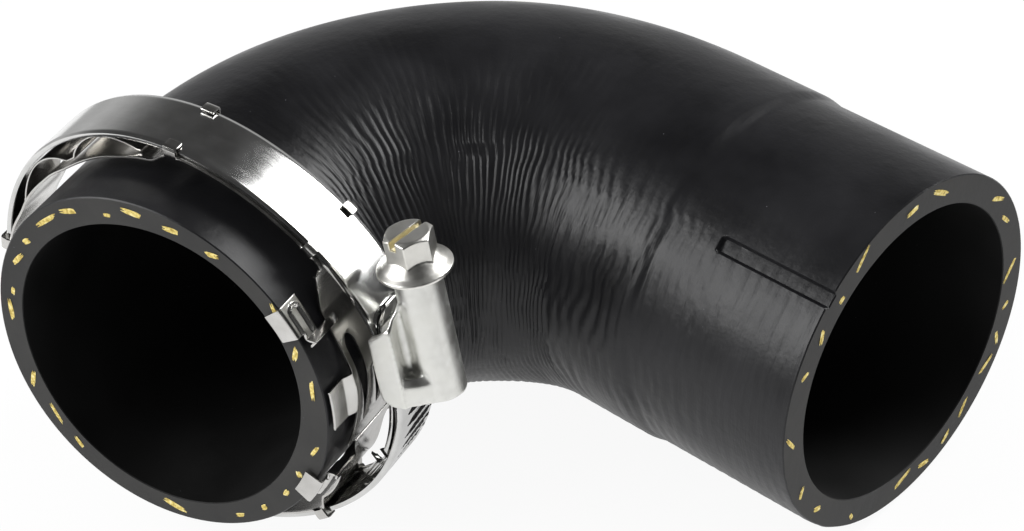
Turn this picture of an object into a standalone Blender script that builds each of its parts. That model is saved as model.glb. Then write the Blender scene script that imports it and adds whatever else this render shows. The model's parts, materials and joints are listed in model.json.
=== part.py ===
"""Moulded rubber elbow hose for a turbocharged engine, with a worm-drive clamp and its spring
liner held on one mouth. It lies on its side. Sizes are in metres and angles in degrees.

The elbow is drawn in its own frame: the centreline lies in the XY plane with the centre of the
bend at the origin, and the plain leg runs out along +X. Clamp pieces are drawn about the axis of
the clamped mouth, with angles counted from the top towards the outside of the bend.
"""

import math

import bmesh
import bpy
from mathutils import Matrix, Quaternion, Vector

# Elbow
BEND_RADIUS = 0.0448
BEND_ANGLE = 104.4
CLAMP_LEG = 0.0224
PLAIN_LEG = 0.048
CLAMP_MOUTH_RADIUS = 0.03095
ELBOW_RADIUS = 0.0315
PLAIN_LEG_RADIUS = 0.0305
CUFF_RADIUS = 0.030
CUFF_LENGTH = 0.030
CUFF_STEP_LENGTH = 0.0008
CLAMP_BORE_RADIUS = 0.0264
PLAIN_BORE_RADIUS = 0.025
MOUTH_OUT_OF_ROUND = 0.0005
BORE_OUT_OF_ROUND = 0.0009
MARK_WIDTH = 0.0027
MARK_LENGTH = 0.0214
MARK_DEPTH = 0.0008
MARK_ANGLE = 41.0
ELBOW_SIDES = 48

# Clamp band
BAND_SETBACK = 0.0080
BAND_WIDTH = 0.0112
BAND_THICKNESS = 0.0007
BAND_STANDOFF = 0.0052
BAND_SHIFT_UP = 0.00113
BAND_SHIFT_OUT = -0.00163
BAND_PINCH = 0.00092
BAND_FLATS = 0.00083
BAND_TAIL_ANGLE = -112.0
BAND_TIP_ANGLE = 294.0
LAP_SPACING = 0.00105
LAP_START_ANGLE = -70.0
LAP_END_ANGLE = -94.0

# Screw and its housing
SCREW_ANGLE = -81.0
THREAD_ROOM = 0.0011
WORM_RADIUS = 0.0029
WORM_LENGTH = 0.0188
WORM_CHAMFER = 0.0003
NECK_RADIUS = 0.0021
COLLAR_RADIUS = 0.0059
COLLAR_RIM = 0.0006
COLLAR_CONE = 0.0022
COLLAR_TOP_RADIUS = 0.0042
HEAD_ACROSS_FLATS = 0.0070
HEAD_HEIGHT = 0.0037
HEAD_CHAMFER = 0.0005
HEAD_TURN = -10.0
SLOT_TURN = -14.0
SLOT_WIDTH = 0.0011
SLOT_DEPTH = 0.0022
HOUSING_SHEET = 0.0006
BARREL_CLEARANCE = 0.0003
BARREL_TOP = 0.0162
SADDLE_TOP = 0.0100
MOUTH_SLANT = 0.0040
HOUSING_BOTTOM = 0.0062
HOUSING_LIP = 0.0008
SHOULDER_RISE = 0.0003
FLOOR_ROOM = 0.0005
CAP_LENGTH = 0.0018
CAP_SLOPE = 0.0011
CAP_SHRINK = 0.82
END_STEP = 0.0001
CUT_MARGIN = 0.002

# Spring liner and wave springs
LINER_THICKNESS = 0.00035
SPRING_THICKNESS = 0.0003
FIT_GAP = 0.0003
LINER_MARGIN = 0.0004
CLIP_ANGLES = (0.0, -43.0, 79.0, 105.0, 184.0, 216.0)
CLIP_WIDTH = 3.4
CLIP_REACH = 0.0017
HOOK_STRAP_WIDTH = 0.0038
HOOK_FACE_RADIUS = 0.0283
HOOK_PLATE_SPAN = 10.5
HOOK_STRAP_SPAN = 14.0
RIDGE_ANGLE = 24.5
RIDGE_HEIGHT = 0.0016
RIDGE_WIDTH = 3.0
HOOK_AXIS_ANGLE = -88.0
TAB_SPAN = 14.0
STRAP_FRONT_SETBACK = 0.0008
TAB_BACK_SETBACK = 0.0045
LINER_FRONT_SETBACK = 0.0062
LINER_SPLIT = 1.8
MIDDLE_BOW = 0.22
FRONT_SLOT_SETBACK = 0.0073
FRONT_SLOT_WIDTH = 0.0024
FRONT_SLOT_SPAN = (-102.0, -70.0)
REAR_SLOT_SETBACK = 0.0112
REAR_SLOT_WIDTH = 0.0018
REAR_SLOT_SPAN = (-100.0, -84.0)
COLUMN_ROOM = 0.0002
WAVE_MARGIN = 0.0009
BOW_REACH = 0.94
TOP_BOWS = ((12.0, 35.5), (38.5, 62.0))
BOTTOM_BOWS = ((122.0, 145.5), (148.5, 172.0))
STEEL_STEP = 4.0

PARTS_NAME = "turbo_hose"


# Scene and small helpers

def clear_scene():
    for obj in list(bpy.data.objects):
        bpy.data.objects.remove(obj, do_unlink=True)


def new_collection(name, hidden=False):
    collection = bpy.data.collections.new(name)
    bpy.context.scene.collection.children.link(collection)
    collection.hide_render = hidden
    return collection


def material(name, colour, roughness, metallic):
    made = bpy.data.materials.new(name)
    made.use_nodes = True
    shader = made.node_tree.nodes["Principled BSDF"]
    shader.inputs["Base Color"].default_value = (*colour, 1.0)
    shader.inputs["Roughness"].default_value = roughness
    shader.inputs["Metallic"].default_value = metallic
    made.diffuse_color = (*colour, 1.0)
    return made


def mesh_object(name, mesh, parent, look=None):
    """An object in the parts collection, or a hidden cutter where it has no look."""
    obj = bpy.data.objects.new(name, mesh)
    obj.parent = parent
    if look:
        mesh.materials.append(look)
        parts.objects.link(obj)
    else:
        obj.display_type = "WIRE"
        obj.hide_render = True
        cutters.objects.link(obj)
    return obj


def finished_mesh(name, shape):
    bmesh.ops.recalc_face_normals(shape, faces=shape.faces)
    mesh = bpy.data.meshes.new(name)
    shape.to_mesh(mesh)
    shape.free()
    return mesh


def shade(obj, angle=35.0):
    obj.data.shade_smooth()
    obj.data.set_sharp_from_angle(angle=math.radians(angle))


def boolean(obj, other, operation):
    modifier = obj.modifiers.new(f"{operation.title()} {other.name}", "BOOLEAN")
    modifier.operation = operation
    modifier.solver = "EXACT"
    modifier.object = other


def empty(name, matrix, parent):
    obj = bpy.data.objects.new(name, None)
    obj.empty_display_size = CUFF_RADIUS / 3
    parts.objects.link(obj)
    obj.parent = parent
    obj.matrix_local = matrix
    return obj


def cylinder_mesh(name, radius, bottom, top, sides=32):
    shape = bmesh.new()
    bmesh.ops.create_cone(
        shape, cap_ends=True, segments=sides, radius1=radius, radius2=radius, depth=top - bottom,
        matrix=Matrix.Translation((0, 0, (top + bottom) / 2)),
    )
    return finished_mesh(name, shape)


def box_mesh(name, low, high):
    low, high = Vector(low), Vector(high)
    shape = bmesh.new()
    bmesh.ops.create_cube(
        shape, size=1.0,
        matrix=Matrix.Translation((low + high) / 2) @ Matrix.Diagonal((*(high - low), 1.0)),
    )
    return finished_mesh(name, shape)


def smooth_step(value, start, end):
    share = min(max((value - start) / (end - start), 0.0), 1.0)
    return share * share * (3.0 - 2.0 * share)


def between(value, stations):
    """Smoothly joins (position, height) stations."""
    for (start, low), (end, high) in zip(stations, stations[1:]):
        if value <= end:
            return low + (high - low) * smooth_step(value, start, end)
    return stations[-1][1]


def angles_between(start, end, step, extra=()):
    """Evenly spaced angles, with the extra ones put in and close neighbours left out."""
    count = max(1, math.ceil((end - start) / step - 1e-6))
    even = [start + (end - start) * index / count for index in range(count + 1)]
    kept = sorted({round(value, 4) for value in extra if start <= value <= end})
    spare = [value for value in even if all(abs(value - other) > 0.9 for other in kept)]
    return sorted(set(kept) | set(spare) | {start, end})


# Elbow centreline

def elbow_length():
    return CLAMP_LEG + BEND_RADIUS * math.radians(BEND_ANGLE) + PLAIN_LEG


def elbow_frame(along):
    """Centre, outward-side direction and forward direction at a distance from the clamped mouth."""
    arc = BEND_RADIUS * math.radians(BEND_ANGLE)
    turned = min(max((along - CLAMP_LEG) / BEND_RADIUS, 0.0), math.radians(BEND_ANGLE))
    angle = math.radians(90.0 + BEND_ANGLE) - turned
    side = Vector((math.cos(angle), math.sin(angle), 0.0))
    forward = Vector((math.sin(angle), -math.cos(angle), 0.0))
    straight = min(along - CLAMP_LEG, 0.0) + max(along - CLAMP_LEG - arc, 0.0)
    return side * BEND_RADIUS + forward * straight, side, forward


def elbow_size(along):
    """Mean outside radius of the rubber at a distance from the clamped mouth."""
    arc = BEND_RADIUS * math.radians(BEND_ANGLE)
    cuff_start = elbow_length() - CUFF_LENGTH
    return between(along, (
        (0.0, CLAMP_MOUTH_RADIUS),
        (BAND_SETBACK + BAND_WIDTH, CLAMP_MOUTH_RADIUS),
        (CLAMP_LEG + arc * 0.3, ELBOW_RADIUS),
        (CLAMP_LEG + arc * 0.6, ELBOW_RADIUS),
        (CLAMP_LEG + arc, PLAIN_LEG_RADIUS),
        (cuff_start - CUFF_STEP_LENGTH, PLAIN_LEG_RADIUS),
        (cuff_start, CUFF_RADIUS),
    ))


def outer_radius(along, angle):
    """Outside of the rubber. The angle counts from the top towards the outside of the bend."""
    lobes = math.cos(2 * angle) - 0.7 * math.sin(2 * angle) + 0.6 * math.sin(3 * angle)
    fading = 1.0 - smooth_step(along, 0.0, CLAMP_LEG * 1.3)
    return elbow_size(along) + MOUTH_OUT_OF_ROUND * lobes * fading


def inner_radius(along, angle):
    size = between(along, ((0.0, CLAMP_BORE_RADIUS), (elbow_length(), PLAIN_BORE_RADIUS)))
    lobes = 0.8 * math.cos(2 * angle) - math.sin(2 * angle) - 0.3 * math.cos(3 * angle)
    return size + BORE_OUT_OF_ROUND * lobes * (1.0 - smooth_step(along, 0.0, CLAMP_LEG * 1.3))


def elbow_ring(shape, along, radius_at):
    centre, side, _ = elbow_frame(along)
    ring = []
    for index in range(ELBOW_SIDES):
        angle = 2 * math.pi * index / ELBOW_SIDES
        arm = Vector((0, 0, math.cos(angle))) + side * math.sin(angle)
        ring.append(shape.verts.new(centre + arm * radius_at(along, angle)))
    return ring


def steps(start, end, count):
    return [start + (end - start) * index / count for index in range(count)]


def bridge(shape, first, second):
    for index, vert in enumerate(first):
        after = (index + 1) % len(first)
        shape.faces.new((vert, first[after], second[after], second[index]))


def make_elbow(look):
    """The wall is lofted, because its section changes from a lobed mouth to a round cuff."""
    total = elbow_length()
    arc_end = total - PLAIN_LEG
    cuff_start = total - CUFF_LENGTH
    outside = steps(0.0, CLAMP_LEG, 5) + steps(CLAMP_LEG, arc_end, 26)
    outside += steps(arc_end, cuff_start - CUFF_STEP_LENGTH, 4)
    outside += steps(cuff_start - CUFF_STEP_LENGTH, cuff_start, 2) + steps(cuff_start, total, 3) + [total]
    inside = [total] + steps(total, arc_end, 3)[1:] + steps(arc_end, CLAMP_LEG, 20)
    inside += steps(CLAMP_LEG, 0.0, 4) + [0.0]
    shape = bmesh.new()
    rings = [elbow_ring(shape, along, outer_radius) for along in outside]
    rings += [elbow_ring(shape, along, inner_radius) for along in inside]
    for first, second in zip(rings, rings[1:] + rings[:1]):
        bridge(shape, first, second)
    elbow = mesh_object("rubber_elbow", finished_mesh("rubber_elbow", shape), rest, look)
    boolean(elbow, make_mark_cutter(), "DIFFERENCE")
    shade(elbow, 30.0)


def make_mark_cutter():
    """A flat-bottomed mark, rounded at its closed end, that runs out through the plain mouth."""
    centre, side, forward = elbow_frame(elbow_length())
    angle = math.radians(MARK_ANGLE)
    out = Vector((0, 0, math.cos(angle))) - side * math.sin(angle)
    across = forward.cross(out)
    half = MARK_WIDTH / 2
    base = CUFF_RADIUS - MARK_DEPTH
    outline = [(CUFF_LENGTH * 0.1, half), (CUFF_LENGTH * 0.1, -half)]
    for index in range(7):
        turn = -math.pi / 2 - math.pi * index / 6
        outline.append((half - MARK_LENGTH + half * math.cos(turn), half * math.sin(turn)))
    shape = bmesh.new()
    floor = [shape.verts.new(centre + forward * x + across * y + out * base) for x, y in outline]
    face = shape.faces.new(floor)
    lifted = bmesh.ops.extrude_face_region(shape, geom=[face])["geom"]
    raised = [item for item in lifted if isinstance(item, bmesh.types.BMVert)]
    bmesh.ops.translate(shape, verts=raised, vec=out * (MARK_DEPTH * 5))
    return mesh_object("mark_cutter", finished_mesh("mark_cutter", shape), rest)


# Strip work about the clamped mouth: x is up, y is the outside of the bend, z points out of it

def band_radius(degrees):
    """Outer face of the band, measured from the clamp's own centre."""
    angle = math.radians(degrees)
    size = elbow_size(BAND_SETBACK + BAND_WIDTH) + BAND_STANDOFF
    return size + BAND_PINCH * math.sin(2 * angle) + BAND_FLATS * math.sin(3 * angle)


def lap_share(degrees):
    return smooth_step(-degrees, -LAP_START_ANGLE, -LAP_END_ANGLE)


def tail_radius(degrees):
    return band_radius(degrees) - LAP_SPACING * lap_share(degrees)


def tip_radius(degrees):
    return band_radius(degrees) + LAP_SPACING * (1.0 - lap_share(degrees))


def band_path(degrees):
    """The strip starts at its tail, goes once round, and its threaded tip laps over the tail."""
    if degrees < LAP_START_ANGLE:
        return tail_radius(degrees)
    if degrees > LAP_END_ANGLE + 360.0:
        return tip_radius(degrees - 360.0)
    return band_radius(degrees)


def rubber_face(degrees):
    """Outside of the rubber near its mouth, measured from the clamp's own centre."""
    angle = math.radians(degrees)
    shift = BAND_SHIFT_UP * math.cos(angle) + BAND_SHIFT_OUT * math.sin(angle)
    lift = max(outer_radius(0.0, angle), outer_radius(BAND_SETBACK + BAND_WIDTH, angle))
    return lift - shift


def liner_share(degrees):
    """How far the liner stands from the rubber (0) towards the band (1)."""
    return between((degrees - HOOK_AXIS_ANGLE) % 360.0, (
        (0.0, MIDDLE_BOW), (24.0, 0.0), (27.0, 0.0), (42.0, 1.0), (88.0, 1.0), (96.0, 0.54), (108.0, 0.44),
        (126.0, 0.36), (134.0, 0.44), (151.0, 0.6), (167.0, 1.0), (180.0, 0.86), (193.0, 1.0), (209.0, 0.6),
        (226.0, 0.44), (234.0, 0.36), (252.0, 0.44), (264.0, 0.54), (270.0, 1.0), (305.0, 1.0), (309.0, 0.6),
        (330.0, 0.0), (336.0, 0.0), (360.0, MIDDLE_BOW),
    ))


def liner_radius(degrees):
    """Outer face of the liner, measured from the clamp's own centre."""
    low = rubber_face(degrees) + FIT_GAP + LINER_THICKNESS
    turned = degrees % 360.0
    inner_lap = tail_radius(turned - 360.0) if turned > 360.0 + BAND_TAIL_ANGLE - 4.0 else band_radius(degrees)
    high = inner_lap - BAND_THICKNESS - FIT_GAP
    spring_room = SPRING_THICKNESS + FIT_GAP
    share = liner_share(degrees)
    pressed = max(0.0, (share - 0.6) / 0.4)
    return low + max(high - low - spring_room, 0.0) * share + spring_room * pressed


def clamp_point(degrees, radius, depth):
    angle = math.radians(degrees)
    return Vector((
        BAND_SHIFT_UP + radius * math.cos(angle),
        BAND_SHIFT_OUT + radius * math.sin(angle),
        -depth,
    ))


def sheet_mesh(name, degrees, columns, present):
    """A sheet laid out as rows of angles and columns of (radius, depth) functions. Its faces are
    kept where present(column, middle angle) says so, and the sheet is thickened afterwards."""
    shape = bmesh.new()
    grid = [[shape.verts.new(clamp_point(value, *column(value))) for column in columns] for value in degrees]
    for row, (start, end) in enumerate(zip(degrees, degrees[1:])):
        for index in range(len(columns) - 1):
            if present(index, (start + end) / 2):
                shape.faces.new((
                    grid[row][index], grid[row][index + 1], grid[row + 1][index + 1], grid[row + 1][index],
                ))
    loose = [vert for vert in shape.verts if not vert.link_faces]
    bmesh.ops.delete(shape, geom=loose, context="VERTS")
    mesh = bpy.data.meshes.new(name)
    shape.to_mesh(mesh)
    shape.free()
    return mesh


def thicken(obj, thickness):
    modifier = obj.modifiers.new("Sheet", "SOLIDIFY")
    modifier.thickness = thickness
    modifier.offset = -1.0
    modifier.use_even_offset = True


def always(_column, _middle):
    return True


def make_band(look):
    degrees = angles_between(BAND_TAIL_ANGLE, BAND_TIP_ANGLE, STEEL_STEP)
    columns = [
        lambda value: (band_path(value), BAND_SETBACK),
        lambda value: (band_path(value), BAND_SETBACK + BAND_WIDTH),
    ]
    band = mesh_object("clamp_band", sheet_mesh("clamp_band", degrees, columns, always), mouth, look)
    thicken(band, BAND_THICKNESS)
    shade(band)


# Screw housing, in a frame whose z is the screw axis and whose x points away from the clamp's centre

def make_tunnel_cutter():
    """The room that both laps of the band pass through."""
    degrees = angles_between(SCREW_ANGLE - 26.0, SCREW_ANGLE + 26.0, STEEL_STEP)
    columns = [
        lambda value: (tip_radius(value) + FIT_GAP, BAND_SETBACK - FIT_GAP),
        lambda value: (tip_radius(value) + FIT_GAP, BAND_SETBACK + BAND_WIDTH + FIT_GAP),
    ]
    cutter = mesh_object("band_tunnel", sheet_mesh("band_tunnel", degrees, columns, always), mouth)
    thicken(cutter, LAP_SPACING + BAND_THICKNESS + 2 * FIT_GAP)
    return cutter


def prism_mesh(name, outline, bottom, top, top_shrink=1.0):
    """A closed outline in x and y, carried up along z and drawn in at its top."""
    shape = bmesh.new()
    face = shape.faces.new([shape.verts.new((x, y, bottom)) for x, y in outline])
    lifted = bmesh.ops.extrude_face_region(shape, geom=[face])["geom"]
    raised = [item for item in lifted if isinstance(item, bmesh.types.BMVert)]
    bmesh.ops.translate(shape, verts=raised, vec=(0, 0, top - bottom))
    bmesh.ops.scale(shape, verts=raised, vec=(top_shrink, top_shrink, 1.0))
    return finished_mesh(name, shape)


def mirrored(half):
    return half + [(x, -y) for x, y in reversed(half)]


def shoulder_drop():
    """From the screw axis down to the top of the sheet that covers the band."""
    return WORM_RADIUS + THREAD_ROOM - FIT_GAP - HOUSING_SHEET - SHOULDER_RISE


def saddle_floor():
    """From the screw axis down to the underside of the sheet beneath both laps of the band."""
    under_laps = WORM_RADIUS + THREAD_ROOM + LAP_SPACING + BAND_THICKNESS + FIT_GAP
    return under_laps + FLOOR_ROOM + HOUSING_SHEET


def make_saddle(look, half_width, neck_half_width):
    """Rounded shoulders over the band, with a slanted mouth and a valley beside the barrel."""
    shoulder = shoulder_drop()
    outline = mirrored([
        (-saddle_floor(), half_width), (-shoulder, half_width),
        (-shoulder, half_width - 2 * HOUSING_SHEET), (-shoulder - SHOULDER_RISE, neck_half_width),
    ])
    saddle = mesh_object(
        "screw_housing", prism_mesh("screw_housing", outline, -HOUSING_BOTTOM, SADDLE_TOP + CUT_MARGIN),
        screw_axis, look,
    )
    rounding = saddle.modifiers.new("Rounded bends", "BEVEL")
    rounding.width = HOUSING_SHEET
    rounding.segments = 3
    rounding.limit_method = "ANGLE"
    rounding.angle_limit = math.radians(50.0)
    return saddle


def make_mouth_cutter(half_width):
    """Cuts the mouth on a slant, so that the barrel's side reaches further than the floor."""
    shape = bmesh.new()
    floor, ceiling = -saddle_floor() - CUT_MARGIN, 0.0
    slope = MOUTH_SLANT / saddle_floor()
    cut_top = SADDLE_TOP + 4 * CUT_MARGIN
    corners = [
        (floor, SADDLE_TOP + slope * floor), (ceiling, SADDLE_TOP), (ceiling, cut_top), (floor, cut_top),
    ]
    side = half_width + CUT_MARGIN
    face = shape.faces.new([shape.verts.new((x, -side, z)) for x, z in corners])
    lifted = bmesh.ops.extrude_face_region(shape, geom=[face])["geom"]
    raised = [item for item in lifted if isinstance(item, bmesh.types.BMVert)]
    bmesh.ops.translate(shape, verts=raised, vec=(0, 2 * side, 0))
    return mesh_object("slanted_mouth", finished_mesh("slanted_mouth", shape), screw_axis)


def make_housing(look):
    barrel_inside = WORM_RADIUS + BARREL_CLEARANCE
    barrel_outside = barrel_inside + HOUSING_SHEET
    half_width = BAND_WIDTH / 2 + FIT_GAP + HOUSING_SHEET
    cavity_top = BARREL_TOP - HOUSING_LIP
    cavity_bottom = cavity_top - WORM_LENGTH - 2 * FIT_GAP

    housing = make_saddle(look, half_width, barrel_outside * 0.8)
    barrel = mesh_object(
        "barrel", cylinder_mesh("barrel", barrel_outside, END_STEP - HOUSING_BOTTOM, BARREL_TOP, 36), screw_axis
    )
    shoulder = shoulder_drop()
    tent = mirrored([
        (-shoulder - HOUSING_SHEET, half_width - END_STEP), (-shoulder, half_width - HOUSING_SHEET),
        (barrel_outside * 0.5, barrel_outside * 0.85), (barrel_outside * 0.88, barrel_outside * 0.4),
    ])
    cap_top = CAP_LENGTH - HOUSING_BOTTOM
    cap = mesh_object("cap", prism_mesh("cap", tent, 2 * END_STEP - HOUSING_BOTTOM, cap_top), screw_axis)
    slope_base = cap_top - END_STEP
    cap_slope = prism_mesh("cap_slope", tent, slope_base, cap_top + CAP_SLOPE, CAP_SHRINK)
    slope = mesh_object("cap_slope", cap_slope, screw_axis)

    worm_room = cylinder_mesh("worm_room", barrel_inside, cavity_bottom, cavity_top)
    cavity = mesh_object("worm_room", worm_room, screw_axis)
    neck_hole = mesh_object(
        "neck_hole", cylinder_mesh("neck_hole", NECK_RADIUS + FIT_GAP, 0.0, BARREL_TOP + CUT_MARGIN), screw_axis
    )
    window = mesh_object(
        "thread_window",
        box_mesh(
            "thread_window", (-saddle_floor() * 0.6, -0.55 * WORM_RADIUS, cavity_bottom + 2 * END_STEP),
            (-0.15 * WORM_RADIUS, 0.55 * WORM_RADIUS, SADDLE_TOP * 0.5),
        ),
        screw_axis,
    )
    boolean(housing, make_mouth_cutter(half_width), "DIFFERENCE")
    for piece in (barrel, cap, slope):
        boolean(housing, piece, "UNION")
    for cutter in (make_tunnel_cutter(), cavity, neck_hole, window):
        boolean(housing, cutter, "DIFFERENCE")
    shade(housing)


def make_screw(look):
    """Worm, neck and collar are turned. The hexagon head is trimmed by a chamfer and slotted."""
    worm_top = BARREL_TOP - HOUSING_LIP - FIT_GAP
    worm_bottom = worm_top - WORM_LENGTH
    collar_bottom = BARREL_TOP + FIT_GAP
    rim_top = collar_bottom + COLLAR_RIM
    cone_top = rim_top + COLLAR_CONE
    flare = COLLAR_RADIUS - COLLAR_TOP_RADIUS
    profile = [
        (0.0, cone_top), (COLLAR_TOP_RADIUS, cone_top),
        (COLLAR_TOP_RADIUS + 0.18 * flare, rim_top + 0.5 * COLLAR_CONE),
        (COLLAR_TOP_RADIUS + 0.53 * flare, rim_top + 0.2 * COLLAR_CONE),
        (COLLAR_RADIUS - END_STEP, rim_top), (COLLAR_RADIUS, collar_bottom + COLLAR_RIM * 0.5),
        (COLLAR_RADIUS - END_STEP, collar_bottom), (NECK_RADIUS, collar_bottom), (NECK_RADIUS, worm_top),
        (WORM_RADIUS - WORM_CHAMFER, worm_top), (WORM_RADIUS, worm_top - WORM_CHAMFER),
        (WORM_RADIUS, worm_bottom + 2 * WORM_CHAMFER), (WORM_RADIUS - 2 * WORM_CHAMFER, worm_bottom),
        (0.0, worm_bottom),
    ]
    screw = turned_object("worm_screw", profile, screw_axis, look)
    head_top = cone_top + HEAD_HEIGHT
    corner = HEAD_ACROSS_FLATS / math.sqrt(3.0)
    hexagon = mesh_object("hexagon", hexagon_mesh(corner, cone_top - COLLAR_CONE * 0.5, head_top), screw_axis)
    trim_profile = [
        (0.0, head_top + END_STEP), (corner - HEAD_CHAMFER, head_top + END_STEP),
        (corner - HEAD_CHAMFER, head_top - END_STEP / 10), (corner + HEAD_CHAMFER, head_top - HEAD_CHAMFER),
        (corner + HEAD_CHAMFER, cone_top - COLLAR_CONE), (0.0, cone_top - COLLAR_CONE),
    ]
    trim = turned_object("head_trim", trim_profile, screw_axis)
    boolean(hexagon, trim, "INTERSECT")
    slot = mesh_object(
        "driver_slot",
        box_mesh(
            "driver_slot", (-SLOT_WIDTH / 2, -HEAD_ACROSS_FLATS, head_top - SLOT_DEPTH),
            (SLOT_WIDTH / 2, HEAD_ACROSS_FLATS, head_top + CUT_MARGIN),
        ),
        screw_axis,
    )
    slot.rotation_euler = (0.0, 0.0, math.radians(SLOT_TURN))
    boolean(screw, hexagon, "UNION")
    boolean(screw, slot, "DIFFERENCE")
    shade(screw)


def turned_object(name, profile, parent, look=None):
    mesh = bpy.data.meshes.new(name)
    edges = [(index, index + 1) for index in range(len(profile) - 1)]
    mesh.from_pydata([(radius, 0.0, height) for radius, height in profile], edges, [])
    obj = mesh_object(name, mesh, parent, look)
    turn = obj.modifiers.new("Turn", "SCREW")
    turn.axis = "Z"
    turn.steps = 36
    turn.render_steps = 36
    turn.use_merge_vertices = True
    turn.merge_threshold = 0.00001
    turn.use_smooth_shade = True
    return obj


def hexagon_mesh(corner, bottom, top):
    """A hexagon bar, turned a little about the screw axis against the driver slot."""
    outline = []
    for index in range(6):
        turn = math.radians(60.0 * index + HEAD_TURN)
        outline.append((corner * math.cos(turn), corner * math.sin(turn)))
    return prism_mesh("hexagon", outline, bottom, top)


# Spring liner and wave springs

def near(degrees, centre, span):
    return abs((degrees - centre + 180.0) % 360.0 - 180.0) < span / 2


def in_clip(degrees):
    return any(near(degrees, centre, CLIP_WIDTH + 0.002) for centre in CLIP_ANGLES)


def ridge_lift(degrees):
    """The strip stands up in a narrow fold on each side, where a hook strap leaves it."""
    away = abs(abs((degrees - HOOK_AXIS_ANGLE + 180.0) % 360.0 - 180.0) - RIDGE_ANGLE)
    return RIDGE_HEIGHT * max(0.0, 1.0 - away / (RIDGE_WIDTH / 2))


def middle_distance(degrees):
    return abs((degrees - HOOK_AXIS_ANGLE + 180.0) % 360.0 - 180.0)


def make_liner(look):
    """One folded strip. Clips turn over both band edges, and hooks turn over the rubber's end face."""
    front_edge = BAND_SETBACK - LINER_MARGIN
    rear_edge = BAND_SETBACK + BAND_WIDTH + LINER_MARGIN
    strap_end = RIDGE_ANGLE + HOOK_STRAP_SPAN
    plate_start = strap_end - HOOK_PLATE_SPAN
    ridge_edges = (RIDGE_ANGLE - RIDGE_WIDTH / 2, RIDGE_ANGLE, RIDGE_ANGLE + RIDGE_WIDTH / 2)
    start = HOOK_AXIS_ANGLE - RIDGE_ANGLE + RIDGE_WIDTH / 2 + LINER_SPLIT / 3
    end = start - LINER_SPLIT + 360.0

    def clip_top(value):
        return band_radius(value) + FIT_GAP

    def hugging(value):
        return rubber_face(value) + FIT_GAP + LINER_THICKNESS + ridge_lift(value)

    def strap_front(value):
        if in_clip(value):
            return clip_top(value), front_edge + CLIP_REACH
        return hugging(value), STRAP_FRONT_SETBACK

    def strap_back(value):
        if in_clip(value):
            return clip_top(value), front_edge
        return hugging(value), TAB_BACK_SETBACK if middle_distance(value) < TAB_SPAN else HOOK_STRAP_WIDTH

    def body_front(value):
        in_middle = middle_distance(value) < strap_end + 0.1
        return max(liner_radius(value), hugging(value)), LINER_FRONT_SETBACK if in_middle else front_edge

    def body_at(depth):
        return lambda value: (liner_radius(value), max(depth, body_front(value)[1] + COLUMN_ROOM))

    columns = [
        lambda value: (hook_face_radius(value), -FIT_GAP - LINER_THICKNESS),
        lambda value: (hugging(value), -FIT_GAP - LINER_THICKNESS),
        strap_front,
        strap_back,
        body_front,
        body_at(FRONT_SLOT_SETBACK),
        body_at(FRONT_SLOT_SETBACK + FRONT_SLOT_WIDTH),
        body_at(REAR_SLOT_SETBACK),
        body_at(REAR_SLOT_SETBACK + REAR_SLOT_WIDTH),
        body_at(rear_edge),
        lambda value: (clip_top(value), rear_edge),
        lambda value: (clip_top(value), rear_edge - CLIP_REACH),
    ]

    def present(column, middle):
        away = middle_distance(middle)
        ridge = abs(away - RIDGE_ANGLE) < RIDGE_WIDTH / 2
        if column < 2:
            return plate_start < away < strap_end
        if column == 2:
            return ridge_edges[0] < away < strap_end or away < TAB_SPAN / 2 or in_clip(middle)
        if column == 3:
            return ridge or away < TAB_SPAN / 2 or in_clip(middle)
        turned = (middle - HOOK_AXIS_ANGLE + 180.0) % 360.0 - 180.0 + HOOK_AXIS_ANGLE
        if column == 5:
            return not FRONT_SLOT_SPAN[0] < turned < FRONT_SLOT_SPAN[1]
        if column == 7:
            return not REAR_SLOT_SPAN[0] < turned < REAR_SLOT_SPAN[1]
        return column < 9 or in_clip(middle)

    marks = []
    for centre in CLIP_ANGLES:
        marks += [centre - CLIP_WIDTH / 2, centre + CLIP_WIDTH / 2]
    for away in (*ridge_edges, plate_start, strap_end, TAB_SPAN / 2):
        marks += [HOOK_AXIS_ANGLE - away, HOOK_AXIS_ANGLE + away]
    marks += [*FRONT_SLOT_SPAN, *REAR_SLOT_SPAN]
    marks = [value + turn for value in marks for turn in (0.0, 360.0) if start < value + turn < end]
    degrees = angles_between(start, end, STEEL_STEP, marks)
    liner = mesh_object("spring_liner", sheet_mesh("spring_liner", degrees, columns, present), mouth, look)
    thicken(liner, LINER_THICKNESS)
    shade(liner)


def hook_face_radius(degrees):
    """The hooks reach the same distance in from the rubber's own axis."""
    angle = math.radians(degrees)
    shift = BAND_SHIFT_UP * math.cos(angle) + BAND_SHIFT_OUT * math.sin(angle)
    return HOOK_FACE_RADIUS - shift


def wave_radius(degrees, bows):
    """Outer face of a wave spring: it lies on the liner and its bows reach up towards the band."""
    low = liner_radius(degrees) + FIT_GAP + SPRING_THICKNESS
    high = band_radius(degrees) - BAND_THICKNESS - FIT_GAP
    share = 0.0
    for start, end in bows:
        if start < degrees < end:
            share = math.sin(math.pi * (degrees - start) / (end - start)) ** 0.8
    return low + (high - low) * share * BOW_REACH


def make_wave_spring(name, bows, look):
    degrees = angles_between(bows[0][0] - 1.0, bows[-1][1] + 1.0, STEEL_STEP * 0.75)
    columns = [
        lambda value: (wave_radius(value, bows), BAND_SETBACK + WAVE_MARGIN),
        lambda value: (wave_radius(value, bows), BAND_SETBACK + BAND_WIDTH - WAVE_MARGIN),
    ]
    spring = mesh_object(name, sheet_mesh(name, degrees, columns, always), mouth, look)
    thicken(spring, SPRING_THICKNESS)
    shade(spring)


# Frames

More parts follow.
